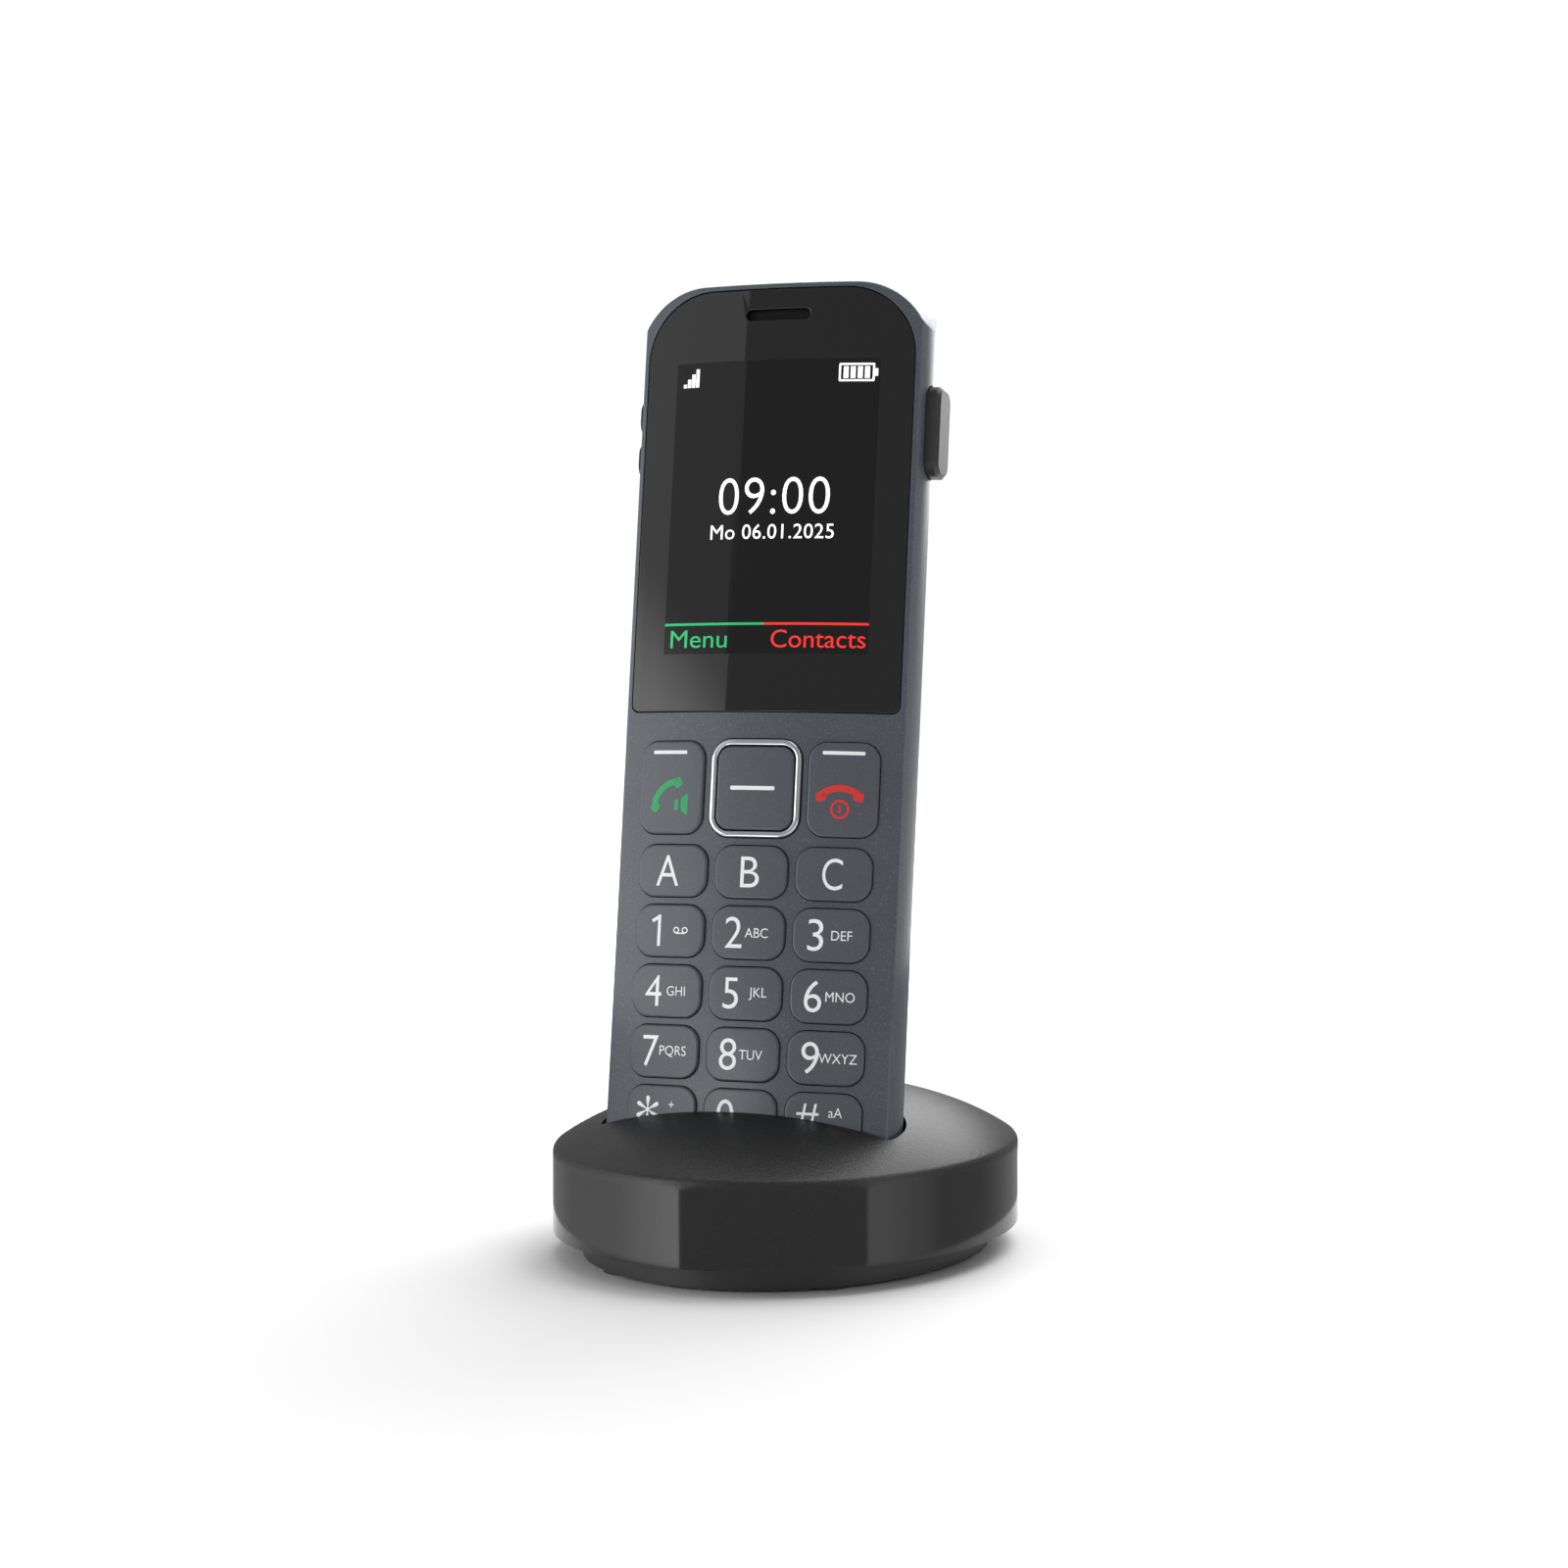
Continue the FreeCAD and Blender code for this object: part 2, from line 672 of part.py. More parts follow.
module_width = "(screen_width + screen_margin - 2 * fit_gap)"
module_height = "(screen_height + screen_margin - 2 * fit_gap)"
module_back = "(display_depth + display_thick)"
keep(plate("display", 0, "screen_middle", module_width, module_height, "module_corner", "display_depth",
           module_back), "display_module")
tray = plate("tray", 0, "screen_middle", f"{module_width} + 2 * frame_side",
             f"{module_height} + 2 * frame_end", "frame_corner", "display_depth + frame_step",
             f"{module_back} + frame_thick")
keep(cut("display_tray", tray, plate("tray_seat", 0, "screen_middle", module_width, module_height,
                                     "module_corner", "0", module_back)), "display_frame")

receiver_y = "(wall + receiver_gap)"
keep(plate("receiver", 0, "slot_place", "receiver_width", "receiver_height", "receiver_corner", receiver_y,
           f"{receiver_y} + receiver_depth"), "earpiece_receiver")
keep(plate("ear_mesh", 0, "slot_place", "slot_width - mesh_gap", "slot_height - mesh_gap",
           "(slot_height / 2 - mesh_gap)", "window_thick + mesh_gap", receiver_y), "earpiece_mesh")

# ---- circuit board and what it carries ----

mat_y = "(key_depth + key_travel + 2 * layer_gap)"
film_y = f"({mat_y} + mat_thick + layer_gap)"
board_y = f"({film_y} + dome_sheet_thick + layer_gap)"
board_back = f"({board_y} + board_thick)"
keys_low = "(first_row - row_pitch / 2)"
keys_high = "(call_row + ring_height / 2 + mat_spare)"
keys_middle = f"(({keys_low} + {keys_high}) / 2)"
keep(plate("board", 0, "(board_bottom + board_top) / 2", "board_width", "board_top - board_bottom",
           "board_corner", board_y, board_back), "main_board")
keep(plate("mat", 0, keys_middle, "board_width - 2 * mat_inset", f"{keys_high} - {keys_low}", "mat_corner",
           mat_y, f"{mat_y} + mat_thick"), "keypad_mat")
film = plate("film", 0, keys_middle, "board_width - 4 * mat_inset",
             f"{keys_high} - {keys_low} - 2 * mat_inset",
             "mat_corner", f"{film_y} + dome_sheet_thick / 2", f"{film_y} + dome_sheet_thick")
snap_places = [(x, z) for x, z, *rest in keys.values()] + [("0", "call_row")]
domes = [cylinder(f"snap_dome_{i}", "snap_dome", "dome_sheet_thick", x, film_y, z, (0, 1, 0))
         for i, (x, z) in enumerate(snap_places)]
keep(together("domes", film, *domes), "dome_sheet")
shield_start = "(cover_end + shield_gap)"
can = box("can", "-shield_width / 2", "shield_width / 2", board_back, f"{board_back} + shield_height",
          shield_start, f"{shield_start} + shield_length")
can_hollow = box("can_hollow", "-shield_width / 2 + shield_wall", "shield_width / 2 - shield_wall",
                 board_back, f"{board_back} + shield_height - shield_wall", f"{shield_start} + shield_wall",
                 f"{shield_start} + shield_length - shield_wall")
keep(cut("radio_can", can, can_hollow), "radio_shield")
keep(box("antenna_strip", "-antenna_width / 2", "antenna_width / 2", board_back,
         f"{board_back} + antenna_thick", "board_top - antenna_end - antenna_height",
         "board_top - antenna_end"), "antenna")
keep(cylinder("mouth_capsule", "microphone_diameter", "microphone_height", 0, "wall + microphone_gap",
              "mouth_place", (0, 1, 0)), "microphone")
speaker_back = "(handset_depth - wall - speaker_gap)"
magnet = cylinder("magnet", "magnet_diameter", "speaker_height / 2", 0,
                  f"{speaker_back} - speaker_height", "speaker_place", (0, 1, 0))
basket = cylinder("basket", "speaker_diameter", "speaker_height / 2", 0,
                  f"{speaker_back} - speaker_height / 2", "speaker_place", (0, 1, 0))
keep(together("loudspeaker", magnet, basket), "hands_free_speaker")

# ---- batteries and their cover ----

cell_start = "(bay_start + contact_room)"
cell_sides = {"left": -1, "right": 1}
for name, side in cell_sides.items():
    x = f"{side} * (cell_diameter + cell_gap) / 2"
    shell_z = cell_start if side < 0 else f"{cell_start} + cell_nub"
    nub_z = f"{cell_start} + cell_length - cell_nub" if side < 0 else cell_start
    jacket = cylinder(f"cell_jacket_{name}", "cell_diameter", "cell_length - cell_nub", x, "cell_y", shell_z)
    nub = cylinder(f"cell_nub_{name}", "cell_nub_diameter", "cell_nub", x, "cell_y", nub_z)
    keep(together(f"cell_{name}", jacket, nub), "battery_cell_" + name)
tabs = []
for name, side in cell_sides.items():
    x = f"{side} * (cell_diameter + cell_gap) / 2"
    for end, tab_z, nose_z in (("foot", "bay_start", "bay_start + tab_thick"),
                               ("head", "bay_end - tab_thick", "bay_end - contact_room")):
        tabs.append(box(f"tab_{end}_{name}", f"{x} - tab_width / 2", f"{x} + tab_width / 2",
                        "cell_y - tab_width / 2", "cell_y + tab_width / 2", tab_z,
                        f"{tab_z} + tab_thick"))
        tabs.append(cylinder(f"nose_{end}_{name}", "cell_nub_diameter", "contact_room - tab_thick", x,
                             "cell_y",
                             nose_z))
keep(together("tabs", *tabs), "battery_contacts")
cover_zone = box("cover_zone", "-cover_width / 2 + cover_gap", "cover_width / 2 - cover_gap", "parting_depth",
                 "handset_depth + wall", "cover_start + cover_gap", "cover_end - cover_gap")
keep(cut("cover_skin", common("cover_form", form, cover_zone), handset_form("cover_inside", "cover_thick")),
     "battery_cover")

# ---- charging contacts and screws of the handset ----

discs = []
for side in (-1, 1):
    x = f"{side} * contact_spread"
    discs.append(cylinder(f"charge_disc_{side + 1}", "charge_pad - 2 * layer_gap", "wall - layer_gap", x,
                          "contact_depth", "layer_gap"))
    discs.append(cylinder(f"charge_flange_{side + 1}", "charge_pad + 2 * charge_flange_width",
                          "charge_flange", x,
                          "contact_depth", "wall"))
keep(together("charge_discs", *discs), "charging_pads")
case_screws = []
for i, (x, z) in enumerate(handset_screws):
    case_screws.append(cylinder(f"case_shank_{i}", "screw_thread", "head_depth - pilot_start - pilot_end_gap",
                                x, "pilot_start + pilot_end_gap", z, (0, 1, 0)))
    case_screws.append(cylinder(f"case_head_{i}", "well_diameter - head_slack", "case_head", x, "head_depth",
                                z, (0, 1, 0)))
keep(together("case_screw_set", *case_screws), "housing_screws")

# ---- keys ----

raised = section_bar("raised_section", "-key_rise")


def key_blank(name, shape, gap=0):
    return common(name + "_blank", key_plate(name + "_outline", shape, gap, "-wall", "key_depth"), raised)


for name, shape in keys.items():
    keep(rounded(name + "_solid", key_blank(name, shape), "key_edge", on_face(number("key_rise"))), name)
keep(rounded("centre_key", key_blank("centre", centre_key), "key_edge", on_face(number("key_rise"))),
     "nav_key")
ring_blank = cut("ring_blank", key_blank("ring", ring), key_plate("ring_hole", centre_key, "key_gap", "-wall",
                                                                  "handset_depth"))
keep(rounded("ring_solid", ring_blank, "ring_edge", on_face(number("key_rise"))), "nav_ring")

side_face = "(handset_width / 2 + side_key_rise)"
side_blank = side_plate("side_key_blank", "side_key_depth", "side_key_place", "side_key_width",
                        "side_key_length",
                        "side_key_corner", "handset_width / 2 - side_key_stem", side_face)
document.recompute()
side_edges = [i for i, edge in enumerate(side_blank.Shape.Edges, 1)
              if edge.BoundBox.XMin > number(side_face) - 0.01]
side_key = document.addObject("Part::Chamfer", "side_key_solid")
side_key.Base = side_blank
side_key.Edges = [(i, sizes["side_key_edge"], sizes["side_key_edge"]) for i in side_edges]
keep(side_key, "side_key")


def rocker_bar(name, z, length, rise):
    return side_plate(name, "side_key_depth", z, "rocker_width", length, "rocker_corner",
                      f"-handset_width / 2 - ({rise})", "-handset_width / 2 + wall * 2")


bumps = [rocker_bar(f"rocker_bump_{side + 1}",
                    f"side_key_place + {side} * (rocker_length - rocker_bump) / 2", "rocker_bump",
                    "rocker_rise")
         for side in (-1, 1)]
pivot_reach = "(rocker_width / 2 + side_gap - layer_gap)"
pivot = cylinder("rocker_axle", "rocker_pivot", f"2 * {pivot_reach}", "rocker_axis - handset_width / 2",
                 f"side_key_depth - {pivot_reach}", "side_key_place", (0, 1, 0))
keep(together("rocker", rocker_bar("rocker_bar", "side_key_place", "rocker_length", "rocker_rise / 2"),
              *bumps,
              pivot), "volume_rocker")

# ---- cradle ----

half_x = "(cradle_width / 2)"
half_y = "(cradle_length / 2)"
apex = "(rim_height + dome_height)"


def dome(name, inset):
    # The cradle's low dome over its upright oval side, drawn in by inset.
    spread = "(1 - 1 / dome_spread ^ 2)"
    rise = f"(dome_height / (1 - sqrt({spread})) - ({inset}))"
    cap = document.addObject("Part::Ellipsoid", name + "_cap")
    cap.Angle1 = -90
    cap.Angle2 = 90
    bind(cap, Radius1=rise, Radius2=f"dome_spread * {half_x} - ({inset})",
         Radius3=f"dome_spread * {half_y} - ({inset})")
    place(cap, 0, 0, f"{apex} - ({inset}) - {rise}")
    side = oval(name + "_side", f"{half_x} - ({inset})", f"{half_y} - ({inset})", "skirt_height", apex)
    return common(name, side, cap)


outside = dome("cradle_outside", 0)
document.recompute()
rim_level = number("rim_height")
crown_edges = [i for i, edge in enumerate(outside.Shape.Edges, 1) if edge.BoundBox.ZMin > rim_level - 2
               and edge.BoundBox.XLength + edge.BoundBox.YLength > 20]
cradle_form = document.addObject("Part::Fillet", "cradle_form")
cradle_form.Base = outside
cradle_form.Edges = [(i, sizes["rim_fillet"], sizes["rim_fillet"]) for i in crown_edges]

socket_wall = lean_back(handset_form("socket_outer", "-socket_gap - socket_wall"))
socket_hollow = lean_back(handset_form("socket_hollow", "-socket_gap"))
boss_places = [("0", "boss_front_y"), ("-boss_rear_x", "boss_rear_y"), ("boss_rear_x", "boss_rear_y")]
boss_foot = "(skirt_height + flange)"
bosses = [cylinder(f"boss_{i}", "boss_diameter", f"{apex} - {boss_foot}", x, y, boss_foot)
          for i, (x, y) in enumerate(boss_places)]
boss_pilots = [cylinder(f"boss_pilot_{i}", "screw_diameter", "screw_reach + pilot_spare", x, y, boss_foot)
               for i, (x, y) in enumerate(boss_places)]
inlet_wall_hole = cylinder("inlet_wall_hole", "inlet_diameter + 2 * layer_gap", "cradle_wall * 4", 0,
                           f"{half_y} - cradle_wall * 2", "inlet_height", (0, 1, 0))
pin_holes = lean_back(group("pin_holes", *[
    cylinder(f"pin_hole_{side + 1}", "pin_diameter + 2 * socket_pin_gap", "cradle_wall * 2",
             f"{side} * contact_spread", "contact_depth", "-cradle_wall * 2") for side in (-1, 1)]))
skin = cut("cradle_skin", cradle_form, dome("cradle_inside", "cradle_wall"))
inner_parts = common("cradle_inner_parts", cradle_form, together("cradle_ribs", socket_wall, *bosses))
keep(cut("cradle_shell", together("cradle_walls", skin, inner_parts), socket_hollow, inlet_wall_hole,
         pin_holes, *boss_pilots), "cradle_top_shell", False)

foot_x = f"({half_x} - foot_inset)"
foot_y = f"({half_y} - foot_inset)"
board_level = "(base_floor + base_rise + board_lift)"
plate_block = together(
    "base_block", oval("base_foot", foot_x, foot_y, "base_rise", "skirt_height"),
    oval("base_flange", f"{half_x} - cradle_wall - fit_gap", f"{half_y} - cradle_wall - fit_gap",
         "skirt_height",
         f"{boss_foot} - layer_gap"))
base_hollow = oval("base_hollow", f"{foot_x} - cradle_wall", f"{foot_y} - cradle_wall",
                   "base_rise + base_floor", "rim_height")
base_posts = [cylinder(f"base_post_{i}", "boss_diameter", f"{boss_foot} - layer_gap - base_rise", x, y,
                       "base_rise")
              for i, (x, y) in enumerate(boss_places)]
stand_places = [(f"{side} * stand_x", y) for side in (-1, 1) for y in ("(-stand_front)", "stand_back")]
stands = [box(f"board_stand_{i}", f"{x} - stand_width / 2", f"{x} + stand_width / 2",
              f"{y} - stand_width / 2",
              f"{y} + stand_width / 2", "base_rise", board_level)
          for i, (x, y) in enumerate(stand_places)]
counterbores = [cylinder(f"counterbore_{i}", "screw_head + screw_slack", "base_floor", x, y, 0)
                for i, (x, y) in enumerate(boss_places)]
clearances = [cylinder(f"clearance_{i}", "screw_diameter + screw_slack", "rim_height", x, y, 0)
              for i, (x, y) in enumerate(boss_places)]
pad_places = [(f"{i} * pad_place_x", f"{j} * pad_place_y") for i in (-1, 1) for j in (-1, 1)]
pad_seats = [cylinder(f"pad_seat_{i}", "pad_diameter + 2 * layer_gap", "pad_height", x, y, 0)
             for i, (x, y) in enumerate(pad_places)]
hollowed = cut("base_hollowed", plate_block, base_hollow)
keep(cut("base_solid", together("base_walls", hollowed, *base_posts, *stands), *counterbores, *clearances,
         *pad_seats), "cradle_base_plate", False)
keep(group("pads", *[cylinder(f"pad_{i}", "pad_diameter", "pad_height", x, y, 0)
                     for i, (x, y) in enumerate(pad_places)]), "cradle_feet", False)
cradle_screws = []
for i, (x, y) in enumerate(boss_places):
    cradle_screws.append(together(
        f"cradle_screw_{i}",
        cylinder(f"base_head_{i}", "screw_head", "base_floor - screw_sink", x, y, "screw_sink"),
        cylinder(f"base_shank_{i}", "screw_diameter", f"{boss_foot} + screw_reach - base_floor", x, y,
                 "base_floor")))
keep(group("cradle_screw_set", *cradle_screws), "cradle_screws", False)

keep(box("charge_board", "-contact_board_width / 2", "contact_board_width / 2", "-contact_board_front",
         "contact_board_back", board_level, f"{board_level} + board_thick"), "contact_board", False)
carrier_top = "(-socket_gap - socket_wall - layer_gap)"
carrier_block = box("carrier_block", "-contact_spread - carrier_margin", "contact_spread + carrier_margin",
                    "contact_depth - carrier_margin", "contact_depth + carrier_margin",
                    f"{carrier_top} - carrier_height", carrier_top)
bores = [cylinder(f"carrier_bore_{side + 1}", "pin_diameter + 2 * pin_guide", "carrier_height",
                  f"{side} * contact_spread", "contact_depth",
                  f"{carrier_top} - carrier_height + carrier_web")
         for side in (-1, 1)]
keep(cut("carrier", carrier_block, *bores), "contact_carrier")
for name, side in cell_sides.items():
    shaft = cylinder(f"pin_shaft_{name}", "pin_diameter", "pin_length - pin_diameter / 2",
                     f"{side} * contact_spread", "contact_depth", "-pin_length - pin_clearance")
    tip = document.addObject("Part::Sphere", f"pin_tip_{name}")
    bind(tip, Radius="pin_diameter / 2")
    place(tip, f"{side} * contact_spread", "contact_depth", "-pin_clearance - pin_diameter / 2")
    keep(together(f"pin_{name}", shaft, tip), "contact_pin_" + name)
inlet_face = f"({half_y} - cradle_wall - inlet_set_back)"
housing = box("inlet_housing", "-inlet_block / 2", "inlet_block / 2", f"{inlet_face} - inlet_depth",
              inlet_face,
              "inlet_height - inlet_block / 2", "inlet_height + inlet_block / 2")
nose = cylinder("inlet_nose_ring", "inlet_diameter", "cradle_wall + inlet_nose", 0,
                f"{inlet_face} - layer_gap", "inlet_height", (0, 1, 0))
barrel = cylinder("inlet_barrel", "inlet_bore", "inlet_depth + cradle_wall", 0, f"{half_y} - inlet_depth",
                  "inlet_height", (0, 1, 0))
prong = cylinder("inlet_prong", "inlet_pin", "inlet_depth - inlet_lead", 0,
                 f"{half_y} - inlet_depth - inlet_web", "inlet_height", (0, 1, 0))
keep(together("inlet", cut("inlet_socket", together("inlet_body", housing, nose), barrel), prong),
     "power_inlet", False)

document.recompute()
for item in document.Objects:
    if "Invalid" in item.State or "Error" in item.State:
        raise SystemExit(f"{item.Name} failed: {item.State}")
os.makedirs("parts", exist_ok=True)
for piece in pieces:
    if piece.Shape.isNull() or not piece.Shape.isValid() or not piece.Shape.Solids:
        raise SystemExit(f"{piece.Label} has no valid solid")
for piece in pieces:
    piece.Shape.exportStep(f"parts/{piece.Label}.step")
    print(f"{piece.Label}: {len(piece.Shape.Solids)} solid, {piece.Shape.Volume:.0f} mm3")
print(len(pieces), "pieces")
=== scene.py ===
import bpy
import bmesh
import json
import math
from mathutils import Matrix, Vector


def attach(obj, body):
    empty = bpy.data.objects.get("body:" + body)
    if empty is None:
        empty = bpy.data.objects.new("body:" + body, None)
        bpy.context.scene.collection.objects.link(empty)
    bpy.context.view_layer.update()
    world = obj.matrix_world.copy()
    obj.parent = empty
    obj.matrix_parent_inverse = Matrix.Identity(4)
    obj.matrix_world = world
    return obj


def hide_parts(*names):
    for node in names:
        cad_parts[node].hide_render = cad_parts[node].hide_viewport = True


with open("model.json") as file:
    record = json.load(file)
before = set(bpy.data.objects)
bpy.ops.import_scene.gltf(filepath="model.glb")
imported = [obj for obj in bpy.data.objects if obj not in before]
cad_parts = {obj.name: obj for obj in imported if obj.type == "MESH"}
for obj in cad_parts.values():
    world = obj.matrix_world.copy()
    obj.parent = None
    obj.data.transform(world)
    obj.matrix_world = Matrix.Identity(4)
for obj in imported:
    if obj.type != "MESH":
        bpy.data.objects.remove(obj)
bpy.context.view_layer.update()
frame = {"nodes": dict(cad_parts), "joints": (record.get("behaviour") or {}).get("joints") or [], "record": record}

nodes = frame["nodes"]
bodyOf = {node: body for body, members in frame["record"]["behaviour"]["bodies"].items() for node in members}
slotOf = {row["node"]: row["material_slot"] for row in frame["record"]["subparts"]}
joints = {joint["name"]: joint for joint in frame["joints"]}
mm = 0.001

# the handset's own frame: across, into the face, and up along the lean
across = Vector((1, 0, 0))
up = Vector(joints["handset_lift"]["axis"]).normalized()
inwards = Vector(joints["key_5_press"]["axis"]).normalized()
crownRadius = 122 * mm      # of the face, from side to side


def reach(node, axis):
    # how far a node reaches both ways along an axis
    spots = [v.co.dot(axis) for v in nodes[node].data.vertices]
    return min(spots), max(spots)


faceLevel = reach("display_window", inwards)[0]
footLevel = reach("front_housing", up)[0]


def span(node):
    # a node's box in the handset's frame: low and high of x, depth and height
    x0, x1 = reach(node, across)
    y0, y1 = reach(node, inwards)
    z0, z1 = reach(node, up)
    return Vector((x0, y0 - faceLevel, z0 - footLevel)), Vector((x1, y1 - faceLevel, z1 - footLevel))


def spot(x, y, z):
    # a point of the handset's frame, in the room
    return across * x + inwards * (y + faceLevel) + up * (z + footLevel)


def crownDepth(x):
    # how far the crowned face has dropped at a distance from its middle
    return crownRadius - math.sqrt(crownRadius ** 2 - x ** 2)


# shader groups

def newGroup(name, inputs, outputs):
    # a node group with its input sockets, each with a default, and its output sockets
    group = bpy.data.node_groups.new(name, "ShaderNodeTree")
    for label, default in inputs:
        kind = "NodeSocketColor" if isinstance(default, tuple) else "NodeSocketFloat"
        group.interface.new_socket(label, in_out="INPUT", socket_type=kind).default_value = default
    for label, kind in outputs:
        group.interface.new_socket(label, in_out="OUTPUT", socket_type=kind)
    return group, group.nodes.new("NodeGroupInput"), group.nodes.new("NodeGroupOutput")


def mathNode(tree, operation, first, second, clamp=False):
    # one sum on two values, each a number or a socket
    node = tree.nodes.new("ShaderNodeMath")
    node.operation = operation
    node.use_clamp = clamp
    for socket, value in zip(node.inputs, (first, second)):
        if isinstance(value, (int, float)):
            socket.default_value = value
        else:
            tree.links.new(value, socket)
    return node.outputs[0]


def noiseNode(tree, coordinates, scale, detail=3.0):
    node = tree.nodes.new("ShaderNodeTexNoise")
    tree.links.new(coordinates, node.inputs["Vector"])
    node.inputs["Detail"].default_value = detail
    if isinstance(scale, (int, float)):
        node.inputs["Scale"].default_value = scale
    else:
        tree.links.new(scale, node.inputs["Scale"])
    return node.outputs["Fac"]


def mixColours(tree, factor, first, second):
    node = tree.nodes.new("ShaderNodeMix")
    node.data_type = "RGBA"
    for index, value in ((0, factor), (6, first), (7, second)):
        if isinstance(value, (int, float, tuple)):
            node.inputs[index].default_value = value
        else:
            tree.links.new(value, node.inputs[index])
    return node.outputs[2]


def makeGrain():
    # moulded plastic: fine pits, small flecks and slow shade differences
    group, inn, out = newGroup(
        "mouldedGrain",
        [("Colour", (0.1, 0.1, 0.1, 1)), ("Fleck Colour", (0.3, 0.3, 0.3, 1)), ("Scale", 4000.0),
         ("Flecks", 0.3), ("Shade", 0.1), ("Roughness", 0.4), ("Roughness Spread", 0.08)],
        [("Colour", "NodeSocketColor"), ("Roughness", "NodeSocketFloat"), ("Height", "NodeSocketFloat")])
    look = {"slowScale": 90.0, "slowDetail": 2.0, "fleckScale": 0.55, "fleckStart": 0.62, "fleckSlope": 6.0}
    coordinates = group.nodes.new("ShaderNodeTexCoord").outputs["Object"]
    fine = noiseNode(group, coordinates, inn.outputs["Scale"])
    coarse = noiseNode(group, coordinates, look["slowScale"], look["slowDetail"])
    fleckScale = mathNode(group, "MULTIPLY", inn.outputs["Scale"], look["fleckScale"])
    flecks = noiseNode(group, coordinates, fleckScale, 0.0)
    bright = mathNode(group, "SUBTRACT", flecks, look["fleckStart"])
    bright = mathNode(group, "MULTIPLY", bright, look["fleckSlope"], True)
    bright = mathNode(group, "MULTIPLY", bright, inn.outputs["Flecks"])
    shade = mathNode(group, "SUBTRACT", mathNode(group, "ADD", fine, coarse), 1.0)
    shade = mathNode(group, "MULTIPLY", shade, inn.outputs["Shade"])
    level = mathNode(group, "ADD", shade, 1.0)
    scaled = group.nodes.new("ShaderNodeVectorMath")
    scaled.operation = "SCALE"
    group.links.new(inn.outputs["Colour"], scaled.inputs[0])
    group.links.new(level, scaled.inputs["Scale"])
    colour = mixColours(group, bright, scaled.outputs[0], inn.outputs["Fleck Colour"])
    group.links.new(colour, out.inputs["Colour"])
    spread = mathNode(group, "SUBTRACT", fine, 0.5)
    spread = mathNode(group, "MULTIPLY", spread, inn.outputs["Roughness Spread"])
    group.links.new(mathNode(group, "ADD", inn.outputs["Roughness"], spread, True), out.inputs["Roughness"])
    group.links.new(fine, out.inputs["Height"])
    return group


grainGroup = makeGrain()


def startMaterial(name):
    # a new material, its node tree and its shader
    material = bpy.data.materials.new(name)
    material.use_nodes = True
    tree = material.node_tree
    shader = next(n for n in tree.nodes if n.type == "BSDF_PRINCIPLED")
    return material, tree, shader


def plastic(name, look):
    # a moulded finish from one dictionary of its values
    material, tree, shader = startMaterial(name)
    grain = tree.nodes.new("ShaderNodeGroup")
    grain.node_tree = grainGroup
    grain.inputs["Colour"].default_value = (*look["colour"], 1)
    grain.inputs["Fleck Colour"].default_value = (*look.get("fleckColour", look["colour"]), 1)
    for key, socket in (("scale", "Scale"), ("flecks", "Flecks"), ("shade", "Shade"),
                        ("roughness", "Roughness"), ("spread", "Roughness Spread")):
        grain.inputs[socket].default_value = look.get(key, grain.inputs[socket].default_value)
    tree.links.new(grain.outputs["Colour"], shader.inputs["Base Color"])
    tree.links.new(grain.outputs["Roughness"], shader.inputs["Roughness"])
    bump = tree.nodes.new("ShaderNodeBump")
    bump.inputs["Strength"].default_value = look.get("bump", 0.2)
    bump.inputs["Distance"].default_value = look.get("bumpHeight", 0.00003)
    tree.links.new(grain.outputs["Height"], bump.inputs["Height"])
    tree.links.new(bump.outputs["Normal"], shader.inputs["Normal"])
    shader.inputs["Metallic"].default_value = look.get("metallic", 0)
    shader.inputs["IOR"].default_value = look.get("ior", 1.5)
    # emission from the colour: the lit display's own light, and a faint painted glow on the printed key marks
    if "glow" in look:
        tree.links.new(grain.outputs["Colour"], shader.inputs["Emission Color"])
        shader.inputs["Emission Strength"].default_value = look["glow"]
    return material


